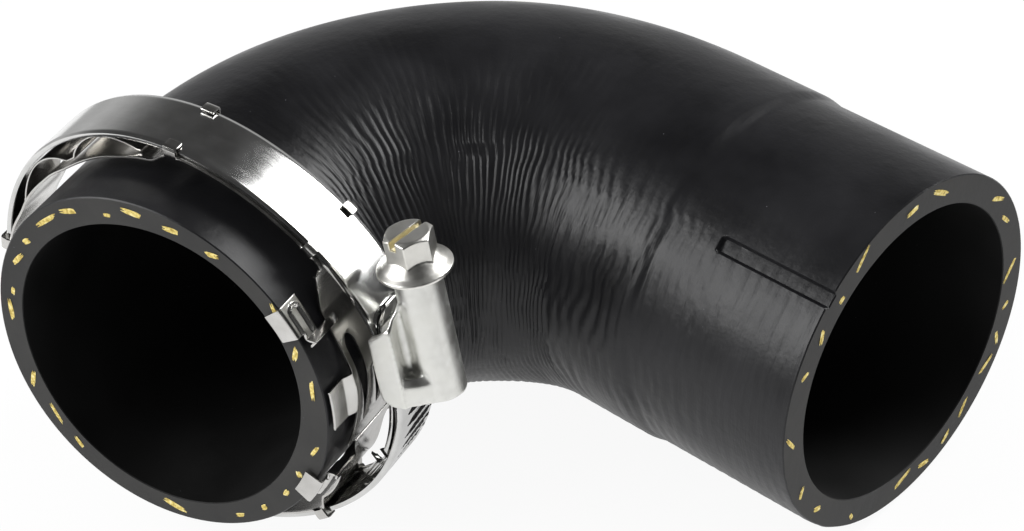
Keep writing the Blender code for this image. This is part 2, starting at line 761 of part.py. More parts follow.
def mouth_matrix():
    """Frame of the clamped mouth: x up, y to the outside of the bend, z out of the mouth."""
    centre, side, forward = elbow_frame(0.0)
    columns = (Vector((0, 0, 1)), side, -forward)
    return Matrix.Translation(centre) @ Matrix(columns).transposed().to_4x4()


def screw_matrix():
    """Frame of the screw: x away from the clamp's centre, z along the screw towards its head."""
    angle = math.radians(SCREW_ANGLE)
    out = Vector((math.cos(angle), math.sin(angle), 0.0))
    towards_head = Vector((-math.sin(angle), math.cos(angle), 0.0))
    columns = (out, towards_head.cross(out), towards_head)
    height = tip_radius(SCREW_ANGLE) + THREAD_ROOM + WORM_RADIUS
    origin = clamp_point(SCREW_ANGLE, height, BAND_SETBACK + BAND_WIDTH / 2)
    return Matrix.Translation(origin) @ Matrix(columns).transposed().to_4x4()


def rest_rotation():
    """Lays the part down on the three places that touch: clamp band, elbow and cuff rim."""
    band_low = mouth_matrix() @ clamp_point(180.0, band_radius(180.0), BAND_SETBACK + BAND_WIDTH)
    elbow_low = elbow_frame(CLAMP_LEG + 0.84 * BEND_RADIUS * math.radians(BEND_ANGLE))[0]
    elbow_low = elbow_low - Vector((0, 0, (2 * ELBOW_RADIUS + PLAIN_LEG_RADIUS) / 3))
    cuff_low = elbow_frame(elbow_length())[0] - Vector((0, 0, CUFF_RADIUS))
    normal = (cuff_low - band_low).cross(elbow_low - band_low).normalized()
    return normal.rotation_difference(Vector((0, 0, 1)))


def stand_on_origin():
    """Moves the whole part so that the origin is under its middle, on the surface it lies on."""
    bpy.context.view_layer.update()
    graph = bpy.context.evaluated_depsgraph_get()
    corners = []
    for obj in parts.objects:
        if obj.type == "MESH":
            solid = obj.evaluated_get(graph)
            corners += [solid.matrix_world @ vert.co for vert in solid.data.vertices]
    low = Vector([min(corner[axis] for corner in corners) for axis in range(3)])
    high = Vector([max(corner[axis] for corner in corners) for axis in range(3)])
    rest.location -= Vector(((low.x + high.x) / 2, (low.y + high.y) / 2, low.z))
    bpy.context.view_layer.update()


clear_scene()
parts = new_collection(PARTS_NAME)
cutters = new_collection("cutters", hidden=True)
rubber = material("black_rubber", (0.012, 0.012, 0.014), 0.45, 0.0)
band_steel = material("band_steel", (0.62, 0.62, 0.60), 0.18, 1.0)
housing_steel = material("housing_steel", (0.60, 0.60, 0.56), 0.42, 1.0)
screw_steel = material("screw_steel", (0.66, 0.66, 0.63), 0.25, 1.0)
spring_steel = material("spring_steel", (0.50, 0.50, 0.49), 0.22, 1.0)

rest = empty("rest", rest_rotation().to_matrix().to_4x4(), None)
mouth = empty("clamped_mouth", mouth_matrix(), rest)
screw_axis = empty("screw_axis", screw_matrix(), mouth)

make_elbow(rubber)
make_band(band_steel)
make_housing(housing_steel)
make_screw(screw_steel)
make_liner(spring_steel)
make_wave_spring("wave_spring_top", TOP_BOWS, spring_steel)
make_wave_spring("wave_spring_bottom", BOTTOM_BOWS, spring_steel)
stand_on_origin()
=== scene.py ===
# %% [markdown]
# # A moulded turbo hose and its worm-drive clamp
# The part is a black rubber elbow that carries air to an engine. A steel band with a worm screw
# sits over one mouth, on a thin sprung liner that hooks over the rubber's end. The rubber is a
# loft, the steel is thin bent sheet, and the yarn in the cut faces is scattered with Geometry Nodes.

# %% Load the frame and measure it
import json
import math
from contextlib import contextmanager

import bmesh
import bpy
import numpy as np
from mathutils import Matrix, Vector, noise


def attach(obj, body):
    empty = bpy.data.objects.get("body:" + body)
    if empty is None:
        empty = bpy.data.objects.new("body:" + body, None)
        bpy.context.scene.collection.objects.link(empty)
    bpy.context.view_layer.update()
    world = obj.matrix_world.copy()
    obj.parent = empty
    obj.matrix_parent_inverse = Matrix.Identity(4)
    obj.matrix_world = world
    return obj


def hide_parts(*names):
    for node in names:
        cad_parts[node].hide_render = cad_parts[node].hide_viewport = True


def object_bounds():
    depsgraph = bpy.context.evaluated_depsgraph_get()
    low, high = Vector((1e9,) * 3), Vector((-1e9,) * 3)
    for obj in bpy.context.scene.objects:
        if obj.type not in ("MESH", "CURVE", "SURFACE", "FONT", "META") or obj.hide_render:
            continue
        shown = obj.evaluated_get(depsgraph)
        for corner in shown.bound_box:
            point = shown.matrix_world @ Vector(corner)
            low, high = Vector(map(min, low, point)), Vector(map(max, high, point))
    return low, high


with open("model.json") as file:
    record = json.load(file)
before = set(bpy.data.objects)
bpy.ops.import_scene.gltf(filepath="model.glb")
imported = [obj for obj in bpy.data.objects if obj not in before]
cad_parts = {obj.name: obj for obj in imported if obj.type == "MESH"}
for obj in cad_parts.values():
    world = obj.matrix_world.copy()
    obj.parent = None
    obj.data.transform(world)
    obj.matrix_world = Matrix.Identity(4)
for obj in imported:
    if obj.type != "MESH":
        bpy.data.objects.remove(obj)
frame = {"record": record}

cad_low, cad_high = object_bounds()
print("CAD box in mm:", [round(1000 * value, 1) for value in (*cad_low, *cad_high)])

# %% [markdown]
# ## The elbow's centreline
# The hose was cured on a bent steel core, so its centreline is a straight leg, an arc and another
# straight leg. Everything is drawn in the plane of that bend first, where the sums are easy, and is
# laid down on its side afterwards.

# %% Centreline of the elbow
BEND_RADIUS = 0.0448
BEND_ANGLE = math.radians(104.4)
CLAMP_LEG = 0.0224
PLAIN_LEG = 0.048
ARC_LENGTH = BEND_RADIUS * BEND_ANGLE
BEND_END = CLAMP_LEG + ARC_LENGTH
ELBOW_LENGTH = BEND_END + PLAIN_LEG


def smooth_step(value, start, end):
    share = np.clip((np.asarray(value, float) - start) / (end - start), 0.0, 1.0)
    return share * share * (3.0 - 2.0 * share)


def hump(value, rise, fall):
    """Rises from 0 to 1 over the first pair of values and falls back over the second."""
    return smooth_step(value, *rise) * (1.0 - smooth_step(value, *fall))


def between(value, stations):
    """Smoothly joins (position, height) stations."""
    value = np.asarray(value, float)
    result = np.full(value.shape, float(stations[-1][1]))
    for (start, low), (end, high) in reversed(list(zip(stations, stations[1:]))):
        risen = low + (high - low) * smooth_step(value, start, end)
        result = np.where(value <= end, risen, result)
    return result


def centreline(along):
    """Centres, outward sides and forward directions at distances from the clamped mouth."""
    along = np.asarray(along, float)
    angle = math.pi / 2 + BEND_ANGLE - np.clip((along - CLAMP_LEG) / BEND_RADIUS, 0.0, BEND_ANGLE)
    flat = np.zeros_like(angle)
    side = np.stack([np.cos(angle), np.sin(angle), flat], axis=-1)
    forward = np.stack([np.sin(angle), -np.cos(angle), flat], axis=-1)
    straight = np.minimum(along - CLAMP_LEG, 0.0) + np.maximum(along - CLAMP_LEG - ARC_LENGTH, 0.0)
    return side * BEND_RADIUS + forward * straight[..., None], side, forward


print("elbow centreline is", round(1000 * ELBOW_LENGTH, 1), "mm long")

# %% [markdown]
# ## The frame of the clamp
# Band, liner and springs are wound about the axis of the clamped mouth. Angles count in degrees from
# the top of the mouth towards the outside of the bend, and depth counts back from its end face. The
# screw lies across the band, so it has a frame of its own.

# %% Frames of the mouth and the screw
BAND_SETBACK = 0.0080
BAND_WIDTH = 0.0112
BAND_THICKNESS = 0.0007
BAND_RADIUS = 0.03615
BAND_SHIFT_UP, BAND_SHIFT_OUT = 0.00113, -0.00163
BAND_PINCH, BAND_FLATS = 0.00092, 0.00083
LAP_SPACING = 0.00105
LAP_START_ANGLE, LAP_END_ANGLE = -70.0, -94.0
SCREW_ANGLE = -81.0
THREAD_ROOM = 0.0011
WORM_RADIUS = 0.0029

UP = Vector((0, 0, 1))


def band_radius(degrees):
    angle = np.radians(degrees)
    return BAND_RADIUS + BAND_PINCH * np.sin(2 * angle) + BAND_FLATS * np.sin(3 * angle)


def lap_share(degrees):
    return smooth_step(-np.asarray(degrees, float), -LAP_START_ANGLE, -LAP_END_ANGLE)


def tail_radius(degrees):
    return band_radius(degrees) - LAP_SPACING * lap_share(degrees)


def tip_radius(degrees):
    return band_radius(degrees) + LAP_SPACING * (1.0 - lap_share(degrees))


def clamp_points(degrees, radius, depth):
    angle = np.radians(degrees)
    x = BAND_SHIFT_UP + radius * np.cos(angle)
    y = BAND_SHIFT_OUT + radius * np.sin(angle)
    return np.stack(np.broadcast_arrays(x, y, -np.asarray(depth, float)), axis=-1)


def matrix_from(columns, origin):
    return Matrix.Translation(origin) @ Matrix([Vector(c) for c in columns]).transposed().to_4x4()


centre, side, forward = [Vector(v) for v in centreline(0.0)]
MOUTH = matrix_from((UP, side, -forward), centre)
screw_turn = math.radians(SCREW_ANGLE)
screw_out = Vector((math.cos(screw_turn), math.sin(screw_turn), 0.0))
screw_up = Vector((-math.sin(screw_turn), math.cos(screw_turn), 0.0))
screw_height = float(tip_radius(SCREW_ANGLE)) + THREAD_ROOM + WORM_RADIUS
screw_origin = Vector(clamp_points(SCREW_ANGLE, screw_height, BAND_SETBACK + BAND_WIDTH / 2))
SCREW = MOUTH @ matrix_from((screw_out, screw_up.cross(screw_out), screw_up), screw_origin)

# %% [markdown]
# ## Laying the part down
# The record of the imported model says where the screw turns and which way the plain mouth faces. Two
# known directions and one known point fix the whole placing, so nothing has to be fitted by hand.

# %% Place of the part in the scene
def axes_from(first, second):
    across = (second - first * second.dot(first)).normalized()
    return Matrix((first, across, first.cross(across))).transposed()


screw_joint = frame["record"]["behaviour"]["joints"][0]
plain_mount = frame["record"]["mounts"][0]
drawn = axes_from(Vector((1, 0, 0)), (SCREW.to_3x3() @ UP).normalized())
placed = axes_from(*(Vector(row["axis"]).normalized() for row in (plain_mount, screw_joint)))
turn = placed @ drawn.transposed()
REST = Matrix.Translation(Vector(screw_joint["pos_m"]) - turn @ SCREW.translation) @ turn.to_4x4()
print("the part is tilted", round(math.degrees(REST.to_quaternion().angle), 2), "degrees on its rest")


def place(points, matrix):
    """Carries an array of points through a 4 by 4 matrix."""
    grid = np.asarray(matrix)
    return points @ grid[:3, :3].T + grid[:3, 3]

# %% [markdown]
# ## Camera
# The photograph looks down into both mouths at once, from in front of the corner of the bend. The
# camera is turned about the elbow's own frame and carried into the scene with it, so that it keeps
# its place when the part is laid down a little differently.

# %% Camera
CAMERA_TURN, CAMERA_LIFT, CAMERA_ROLL = [math.radians(angle) for angle in (44.93, 38.41, -2.83)]
CAMERA_AIM = Vector((-0.01349, 0.01741, 0.0))
CAMERA_DISTANCE = 0.5033
CAMERA_LENS, CAMERA_SHIFT, CAMERA_CLIP = 110.66, (0.0176, 0.0112), 0.01


def add_object(name, data):
    made = bpy.data.objects.new(name, data)
    bpy.context.scene.collection.objects.link(made)
    return made


def direction(turn, lift):
    """A unit vector, turned from the front and lifted from the level."""
    level = math.cos(lift)
    return Vector((math.sin(turn) * level, -math.cos(turn) * level, math.sin(lift)))


back = direction(CAMERA_TURN, CAMERA_LIFT)
level = (-back).cross(UP).normalized()
upright = level.cross(-back)
cosine, sine = math.cos(CAMERA_ROLL), math.sin(CAMERA_ROLL)
camera_axes = (level * cosine + upright * sine, upright * cosine - level * sine, back)
camera = add_object("camera", bpy.data.cameras.new("camera"))
camera.matrix_world = REST @ matrix_from(camera_axes, CAMERA_AIM + back * CAMERA_DISTANCE)
camera.data.lens, camera.data.clip_start = CAMERA_LENS, CAMERA_CLIP
camera.data.shift_x, camera.data.shift_y = CAMERA_SHIFT
bpy.context.scene.camera = camera
print("camera stands", round(CAMERA_DISTANCE * 1000), "mm from its aim")

# %% [markdown]
# ## Node helpers
# A material is a tree of nodes. One small helper adds a node with its values and joins it up, so
# that a tree reads from top to bottom like a recipe. The others shorten the commonest nodes.

# %% Node helpers
def add_node(tree, kind, values=None, **settings):
    made = tree.nodes.new(kind)
    for name, value in settings.items():
        setattr(made, name, value)
    for socket, value in (values or {}).items():
        if isinstance(value, bpy.types.NodeSocket):
            tree.links.new(value, made.inputs[socket])
        else:
            made.inputs[socket].default_value = value
    return made


def compute(tree, operation, *values):
    return add_node(tree, "ShaderNodeMath", dict(enumerate(values)), operation=operation).outputs[0]


def compute_vector(tree, operation, *values, output=0):
    values = dict(enumerate(values))
    return add_node(tree, "ShaderNodeVectorMath", values, operation=operation).outputs[output]


def clouds(tree, vector, scale, detail, **more):
    values = {"Vector": vector, "Scale": scale, "Detail": detail, **more}
    return add_node(tree, "ShaderNodeTexNoise", values).outputs["Fac"]


def stored(tree, name, output="Vector"):
    return add_node(tree, "ShaderNodeAttribute", attribute_name=name).outputs[output]


def object_place(tree):
    return add_node(tree, "ShaderNodeTexCoord").outputs["Object"]


def mixed_colour(tree, share, first, second, **settings):
    values = {"Fac": share, "Color1": first, "Color2": second}
    return add_node(tree, "ShaderNodeMixRGB", values, **settings).outputs[0]


def grey(value):
    return (value, value, value, 1.0)


def ramp(tree, factor, stops):
    made = add_node(tree, "ShaderNodeValToRGB", {"Fac": factor})
    while len(made.color_ramp.elements) < len(stops):
        made.color_ramp.elements.new(0.5)
    for element, (position, value) in zip(made.color_ramp.elements, stops):
        element.position = position
        element.color = (*value, 1.0) if isinstance(value, tuple) else grey(value)
    return made.outputs["Color"]


def new_material(name):
    made = bpy.data.materials.new(name)
    made.use_nodes = True
    made.node_tree.nodes.clear()
    return made, made.node_tree


def finish_material(tree, shader):
    add_node(tree, "ShaderNodeOutputMaterial", {"Surface": shader.outputs[0]})


def finish_surface(tree, colour, roughness, height, strength, depth, **more):
    """Ends a material with a Principled surface, whose relief is a bump of the height given."""
    bump = add_node(tree, "ShaderNodeBump", {"Height": height, "Strength": strength, "Distance": depth})
    values = {"Base Color": colour, "Roughness": roughness, "Normal": bump.outputs[0], **more}
    finish_material(tree, add_node(tree, "ShaderNodeBsdfPrincipled", values))

# %% [markdown]
# ## Two shared patterns
# Dust and handling marks show on the rubber and on the steel, and both steels have a rolled grain.
# Each pattern is a node group that puts out only masks, so one group serves every material with its
# own scale and strength.

# %% Shared pattern groups
def pattern_group(name, inputs, outputs):
    tree = bpy.data.node_groups.new(name, "ShaderNodeTree")
    for socket, kind, value in inputs:
        made = tree.interface.new_socket(socket, in_out="INPUT", socket_type=kind)
        if value is not None:
            made.default_value = value
    for socket in outputs:
        tree.interface.new_socket(socket, in_out="OUTPUT", socket_type="NodeSocketFloat")
    return tree, tree.nodes.new("NodeGroupInput"), tree.nodes.new("NodeGroupOutput")


marks_group, marks_in, marks_out = pattern_group(
    "handling_marks",
    (("Vector", "NodeSocketVector", None), ("Patch Scale", "NodeSocketFloat", 60.0),
     ("Speck Scale", "NodeSocketFloat", 500.0), ("Speck Size", "NodeSocketFloat", 0.05)),
    ("Patches", "Specks"),
)
given = marks_in.outputs
patches = clouds(marks_group, given["Vector"], given["Patch Scale"], 4.0)
cells = add_node(marks_group, "ShaderNodeTexVoronoi", {
    "Vector": given["Vector"], "Scale": given["Speck Scale"],
}).outputs
speck_reach = compute(marks_group, "MULTIPLY", cells["Color"], given["Speck Size"])
specks = compute(marks_group, "LESS_THAN", cells["Distance"], speck_reach)
marks_group.links.new(patches, marks_out.inputs["Patches"])
marks_group.links.new(specks, marks_out.inputs["Specks"])

grain_group, grain_in, grain_out = pattern_group(
    "rolled_grain",
    (("Vector", "NodeSocketVector", None), ("Stretch", "NodeSocketVector", (60.0, 60.0, 2500.0))),
    ("Lines",),
)
given = grain_in.outputs
stretched = compute_vector(grain_group, "MULTIPLY", given["Vector"], given["Stretch"])
fine_lines = clouds(grain_group, stretched, 1.0, 3.0, Roughness=0.6)
grain_group.links.new(fine_lines, grain_out.inputs["Lines"])

# %% [markdown]
# ## Rubber finishes
# The moulded skin is near black with a soft sheen. It took small creases from the tape that was
# wound round it while it cured, so a fine streak that runs round the hose is added to the real
# ridges of the mesh. The end faces were cut with a blade: they are greyer and quite dull. The bore
# is smooth and darker still.

# %% Rubber materials
STREAK_STRETCH, WAVE_SHARE, PORE_SHARE, DUST = (900.0, 90.0, 90.0), 1.3, 0.12, (0.10, 0.10, 0.11, 1.0)


def rubber_material(name, dark, light, roughness, relief):
    made, tree = new_material(name)
    here = object_place(tree)
    along_skin = compute_vector(tree, "MULTIPLY", stored(tree, "hose_flow"), STREAK_STRETCH)
    streaks = clouds(tree, along_skin, 1.0, 3.0, Roughness=0.55)
    height = compute(tree, "MULTIPLY", streaks, stored(tree, "crease", "Fac"))
    waves = clouds(tree, here, 210.0, 3.0, Roughness=0.6)
    height = compute(tree, "MULTIPLY_ADD", waves, WAVE_SHARE, height)
    height = compute(tree, "MULTIPLY_ADD", clouds(tree, here, 2600.0, 2.0), PORE_SHARE, height)
    marks = add_node(tree, "ShaderNodeGroup", {
        "Vector": here, "Patch Scale": 70.0, "Speck Scale": 420.0, "Speck Size": 0.045,
    }, node_tree=marks_group).outputs
    base = ramp(tree, marks["Patches"], ((0.3, dark), (0.75, light)))
    dusty = mixed_colour(tree, marks["Specks"], base, DUST)
    rough = ramp(tree, marks["Patches"], ((0.25, roughness - 0.07), (0.8, roughness + 0.10)))
    finish_surface(tree, dusty, rough, height, relief, 0.0002, **{"Specular IOR Level": 0.35})
    return made


rubber_skin = rubber_material("rubber_skin", (0.006, 0.006, 0.007), (0.014, 0.014, 0.016), 0.36, 0.5)
rubber_cut = rubber_material("rubber_cut", (0.022, 0.022, 0.022), (0.045, 0.044, 0.042), 0.62, 0.35)
rubber_bore = rubber_material("rubber_bore", (0.003, 0.003, 0.003), (0.006, 0.006, 0.006), 0.6, 0.1)

# %% [markdown]
# ## Mesh helpers
# A loft is a grid of points: rows go along, columns go across. The first helper turns such a grid
# into a mesh and can wrap it round in either direction. The others make a piece of a mesh, edit
# it, and keep or read the values of its vertices.

# %% Mesh helpers
def grid_mesh(name, points, wrap_rows=False, wrap_columns=False, keep=None):
    rows, columns = points.shape[:2]
    row = np.arange(rows if wrap_rows else rows - 1)
    column = np.arange(columns if wrap_columns else columns - 1)
    r, c = np.meshgrid(row, column, indexing="ij")
    nr, nc = (r + 1) % rows, (c + 1) % columns
    quads = np.stack([r * columns + c, r * columns + nc, nr * columns + nc, nr * columns + c], axis=-1)
    quads = quads.reshape(-1, 4)
    quads = quads if keep is None else quads[keep]
    mesh = bpy.data.meshes.new(name)
    mesh.from_pydata(points.reshape(-1, 3).tolist(), [], quads.tolist())
    return mesh


def piece(name, mesh, materials, smooth=30.0):
    """Links a finished mesh as a named object with its materials."""
    for material in materials:
        mesh.materials.append(material)
    mesh.shade_smooth()
    mesh.set_sharp_from_angle(angle=math.radians(smooth))
    return add_object(name, mesh)


@contextmanager
def editing(mesh):
    """Opens a mesh for editing and writes it back."""
    shape = bmesh.new()
    shape.from_mesh(mesh)
    yield shape
    shape.to_mesh(mesh)
    shape.free()


def new_mesh(shape, name="form"):
    mesh = bpy.data.meshes.new(name)
    shape.to_mesh(mesh)
    shape.free()
    return mesh


def drop_loose(shape):
    bmesh.ops.delete(shape, geom=[v for v in shape.verts if not v.link_faces], context="VERTS")


def outward(mesh):
    """Merges doubles and turns every face outwards."""
    with editing(mesh) as shape:
        bmesh.ops.remove_doubles(shape, verts=shape.verts, dist=1e-6)
        drop_loose(shape)
        bmesh.ops.recalc_face_normals(shape, faces=shape.faces)
    return mesh


def store(mesh, name, kind, values):
    """Keeps a number or a vector for each vertex, for the materials to read."""
    field = "vector" if kind == "FLOAT_VECTOR" else "value"
    held = mesh.attributes.new(name, kind, "POINT")
    held.data.foreach_set(field, values.reshape(-1).astype(np.float32))


def vertex_values(mesh, field="co"):
    values = np.empty(len(mesh.vertices) * 3)
    mesh.vertices.foreach_get(field, values)
    return values.reshape(-1, 3)

# %% [markdown]
# ## Rubber elbow
# The wall is one loft that goes out along the outside and back along the bore, so it is closed. Real
# ridges run round the bend, because the skin was pressed together on its inner side. They keep one
# count from the inside of the bend to the outside, so they lie closer on the inside. They are cut
# inwards only, which keeps the hose to its size.

# %% Sizes of the elbow
CLAMP_MOUTH_RADIUS, ELBOW_RADIUS, PLAIN_LEG_RADIUS, CUFF_RADIUS = 0.03095, 0.0315, 0.0305, 0.030
CUFF_LENGTH, CUFF_STEP_LENGTH = 0.030, 0.0030
CLAMP_BORE_RADIUS, PLAIN_BORE_RADIUS = 0.0264, 0.025
MOUTH_OUT_OF_ROUND, BORE_OUT_OF_ROUND = 0.0005, 0.0009
MARK_WIDTH, MARK_LENGTH, MARK_DEPTH = 0.0029, 0.0214, 0.0008
MARK_ANGLE = -math.radians(41.0)
MARK_WALL = (-0.00042, 0.00008)
CUFF_START = ELBOW_LENGTH - CUFF_LENGTH
MESH_INSET = 0.00007


def outer_radius(along, angle):
    size = between(along, (
        (0.0, CLAMP_MOUTH_RADIUS), (BAND_SETBACK + BAND_WIDTH, CLAMP_MOUTH_RADIUS),
        (CLAMP_LEG + ARC_LENGTH * 0.3, ELBOW_RADIUS), (CLAMP_LEG + ARC_LENGTH * 0.6, ELBOW_RADIUS),
        (BEND_END, PLAIN_LEG_RADIUS), (CUFF_START - CUFF_STEP_LENGTH, PLAIN_LEG_RADIUS),
        (CUFF_START, CUFF_RADIUS),
    ))
    lobes = np.cos(2 * angle) - 0.7 * np.sin(2 * angle) + 0.6 * np.sin(3 * angle)
    return size + MOUTH_OUT_OF_ROUND * lobes * (1.0 - smooth_step(along, 0.0, CLAMP_LEG * 1.3))


def inner_radius(along, angle):
    size = between(along, ((0.0, CLAMP_BORE_RADIUS), (ELBOW_LENGTH, PLAIN_BORE_RADIUS)))
    lobes = 0.8 * np.cos(2 * angle) - np.sin(2 * angle) - 0.3 * np.cos(3 * angle)
    return size + BORE_OUT_OF_ROUND * lobes * (1.0 - smooth_step(along, 0.0, CLAMP_LEG * 1.3))


# %% Ridges and mark on the skin
RIDGE_PITCH, RIDGE_DEPTH, RIDGE_SHARPNESS = 0.0022, 0.00014, 1.6
BROAD_WARP, FINE_WARP = (1.5, (38.0, 2.6), 3.1), (0.8, (120.0, 6.5), 8.7)
RIDGE_PATCHES, PATCH_RANGE = (1.0, (110.0, 1.6), 5.5), (0.15, 1.3)


def patchiness(along, angle, strength, scale, seed):
    """Smooth noise over the skin, about as high and low as its strength."""
    by_length, by_turn = scale
    flat = [
        noise.noise(Vector((
            s * by_length, by_turn * math.cos(a) + seed, by_turn * math.sin(a) - seed,
        )))
        for s, a in zip(along.ravel(), angle.ravel())
    ]
    return strength * np.array(flat).reshape(along.shape)


def crease_strength(along, angle):
    """Ridges are strong on the inner side of the bend, weak on its outer side and on the legs."""
    inward = -np.sin(angle)
    inner = smooth_step(inward, -0.4, 0.6) * (0.55 + 0.95 * smooth_step(inward, 0.2, 0.95))
    bend = smooth_step(along, CLAMP_LEG * 0.9, CLAMP_LEG + ARC_LENGTH * 0.12)
    past = smooth_step(along, CLAMP_LEG + ARC_LENGTH * 0.95, CUFF_START + 0.012)
    return inner * bend * (1.0 - 0.5 * past)


def ridge_dip(along, angle):
    warp = patchiness(along, angle, *BROAD_WARP) + patchiness(along, angle, *FINE_WARP)
    patches = np.clip(0.75 + patchiness(along, angle, *RIDGE_PATCHES), *PATCH_RANGE)
    wave = 0.5 - 0.5 * np.cos(2 * math.pi * along / RIDGE_PITCH + 2 * math.pi * warp)
    return RIDGE_DEPTH * crease_strength(along, angle) * patches * wave ** RIDGE_SHARPNESS


def mark_dip(along, angle):
    """A flat-bottomed groove that runs out through the plain mouth."""
    corner = MARK_WIDTH * 0.3
    past = ELBOW_LENGTH - MARK_LENGTH - along + corner
    across = np.abs(angle - MARK_ANGLE) * CUFF_RADIUS - (MARK_WIDTH / 2 - corner)
    outside = np.hypot(np.maximum(past, 0.0), np.maximum(across, 0.0))
    edge = outside + np.minimum(np.maximum(past, across), 0.0) - corner
    return MARK_DEPTH * (1.0 - smooth_step(edge, *MARK_WALL))

# %% Loft of the rubber wall
EDGE_ROUND, END_INSET = 0.00018, 0.00014
HOSE_SIDES, BORE_RINGS = 132, 84
FACE_SHARES = (0.0, 0.12, 0.3, 0.5, 0.7, 0.88, 1.0)


def spaced(start, end, step):
    count = max(1, round((end - start) / step))
    return np.linspace(start, end, count + 1)[:-1]


mark_half = MARK_WIDTH / 2 / CUFF_RADIUS
even_angles = np.linspace(-math.pi, math.pi, HOSE_SIDES + 1)[:-1]
mark_angles = MARK_ANGLE + np.concatenate([
    sign * (mark_half + np.linspace(-0.017, 0.005, 9)) for sign in (-1.0, 1.0)
])
clear = np.min(np.abs(even_angles[:, None] - mark_angles[None, :]), axis=1) > 0.012
angles = np.sort(np.concatenate([even_angles[clear], mark_angles]))
first_ring, last_ring = END_INSET + EDGE_ROUND, ELBOW_LENGTH - END_INSET - EDGE_ROUND
mark_start = ELBOW_LENGTH - MARK_LENGTH
runs = (
    (first_ring, 0.0012), (CLAMP_LEG * 0.8, 0.00022), (BEND_END, 0.0003), (CUFF_START - 0.0034, 0.0002),
    (CUFF_START + 0.0004, 0.0004), (mark_start - 0.0002, 0.0001), (mark_start + 0.0014, 0.0006),
    (last_ring, None),
)
stations = [spaced(start, end, step) for (start, step), (end, _) in zip(runs, runs[1:])]
stations = np.concatenate([*stations, [last_ring]])
s, a = np.meshgrid(stations, angles, indexing="ij")
skin = outer_radius(s, a) - MESH_INSET - ridge_dip(s, a) - mark_dip(s, a)
zero = np.zeros_like(angles)
plain_out, plain_in = skin[-1], inner_radius(zero + ELBOW_LENGTH, angles)
clamp_out, clamp_in = skin[0], inner_radius(zero, angles)


def face_rings(along, start, end):
    return [(along, start * (1 - share) + end * share) for share in FACE_SHARES]


rings = list(zip(stations, skin))
rings += face_rings(ELBOW_LENGTH - END_INSET, plain_out - EDGE_ROUND, plain_in + EDGE_ROUND)
bore_first = len(rings)
for station in np.linspace(last_ring, first_ring, BORE_RINGS):
    rings.append((station, inner_radius(zero + station, angles) + MESH_INSET))
bore_last = len(rings)
rings += face_rings(END_INSET, clamp_in + EDGE_ROUND, clamp_out - EDGE_ROUND)
ring_along = np.array([ring[0] for ring in rings])
ring_radius = np.array([ring[1] for ring in rings])
ring_centre, ring_side, _ = centreline(ring_along)
arms = np.cos(angles)[None, :, None] * np.array(UP)
arms = arms + np.sin(angles)[None, :, None] * ring_side[:, None, :]
wall = ring_centre[:, None, :] + arms * ring_radius[:, :, None]
hose_mesh = grid_mesh("hose", place(wall, REST), wrap_rows=True, wrap_columns=True)

# %% Attributes and faces of the rubber
flow = np.stack([
    np.broadcast_to(ring_along[:, None], ring_radius.shape), ring_radius * np.cos(angles),
    ring_radius * np.sin(angles),
], axis=-1)
store(hose_mesh, "hose_flow", "FLOAT_VECTOR", flow)
crease = np.zeros_like(ring_radius)
crease[:len(stations)] = 0.15 + crease_strength(s, a) * 0.85
store(hose_mesh, "crease", "FLOAT", crease)
ring_material = np.zeros(len(rings), int)
ring_material[len(stations):bore_first - 1] = 1
ring_material[bore_first - 1:bore_last] = 2
ring_material[bore_last:len(rings) - 1] = 1
face_material = np.repeat(ring_material, len(angles)).astype(np.int32)
hose_mesh.polygons.foreach_set("material_index", face_material)
hose = piece("hose", hose_mesh, (rubber_skin, rubber_cut, rubber_bore))
with editing(hose_mesh) as shape:
    volume = shape.calc_volume(signed=True)
    if volume < 0.0:
        bmesh.ops.reverse_faces(shape, faces=shape.faces)
print("hose:", len(hose_mesh.polygons), "faces,", round(abs(volume) * 1e6, 1), "cm3 of rubber")
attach(hose, "hose_and_clamp")
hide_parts("rubber_elbow")

# %% [markdown]
# ## Steel finishes
# The band is polished stainless strip with a faint rolled grain along its length. The springs are
# the same strip, thinner and less even. The housing was pressed and tumbled, which left it satin
# and a little warm. The screw is plated, and a trace of yellow passivation stays in its slot.

# %% Steel materials
def steel_material(name, dark, light, roughness, relief, attribute=None, tint=None):
    made, tree = new_material(name)
    here = object_place(tree)
    lines = add_node(tree, "ShaderNodeGroup", {
        "Vector": stored(tree, attribute) if attribute else here,
        "Stretch": (60.0, 2600.0, 60.0) if attribute else (900.0, 900.0, 900.0),
    }, node_tree=grain_group).outputs["Lines"]
    patches = add_node(tree, "ShaderNodeGroup", {
        "Vector": here, "Patch Scale": 260.0, "Speck Scale": 700.0, "Speck Size": 0.05,
    }, node_tree=marks_group).outputs["Patches"]
    base = ramp(tree, patches, ((0.3, dark), (0.7, light)))
    if tint:
        base = mixed_colour(tree, stored(tree, "tint_mask", "Fac"), base, (*tint, 1.0))
    worn = compute(tree, "MULTIPLY", lines, patches)
    rough = ramp(tree, worn, ((0.1, roughness * 0.8), (0.45, roughness * 1.25)))
    finish_surface(tree, base, rough, lines, relief, 0.00002, Metallic=1.0)
    return made


band_polish = steel_material(
    "band_polish", (0.62, 0.62, 0.61), (0.72, 0.72, 0.71), 0.16, 0.12, "strip_flow",
)
spring_polish = steel_material(
    "spring_polish", (0.54, 0.53, 0.51), (0.66, 0.65, 0.63), 0.22, 0.15, "strip_flow",
)
housing_satin = steel_material("housing_satin", (0.76, 0.76, 0.72), (0.84, 0.84, 0.81), 0.40, 0.25)
screw_plate = steel_material(
    "screw_plate", (0.80, 0.79, 0.74), (0.88, 0.87, 0.83), 0.36, 0.2, tint=(0.88, 0.82, 0.62),
)

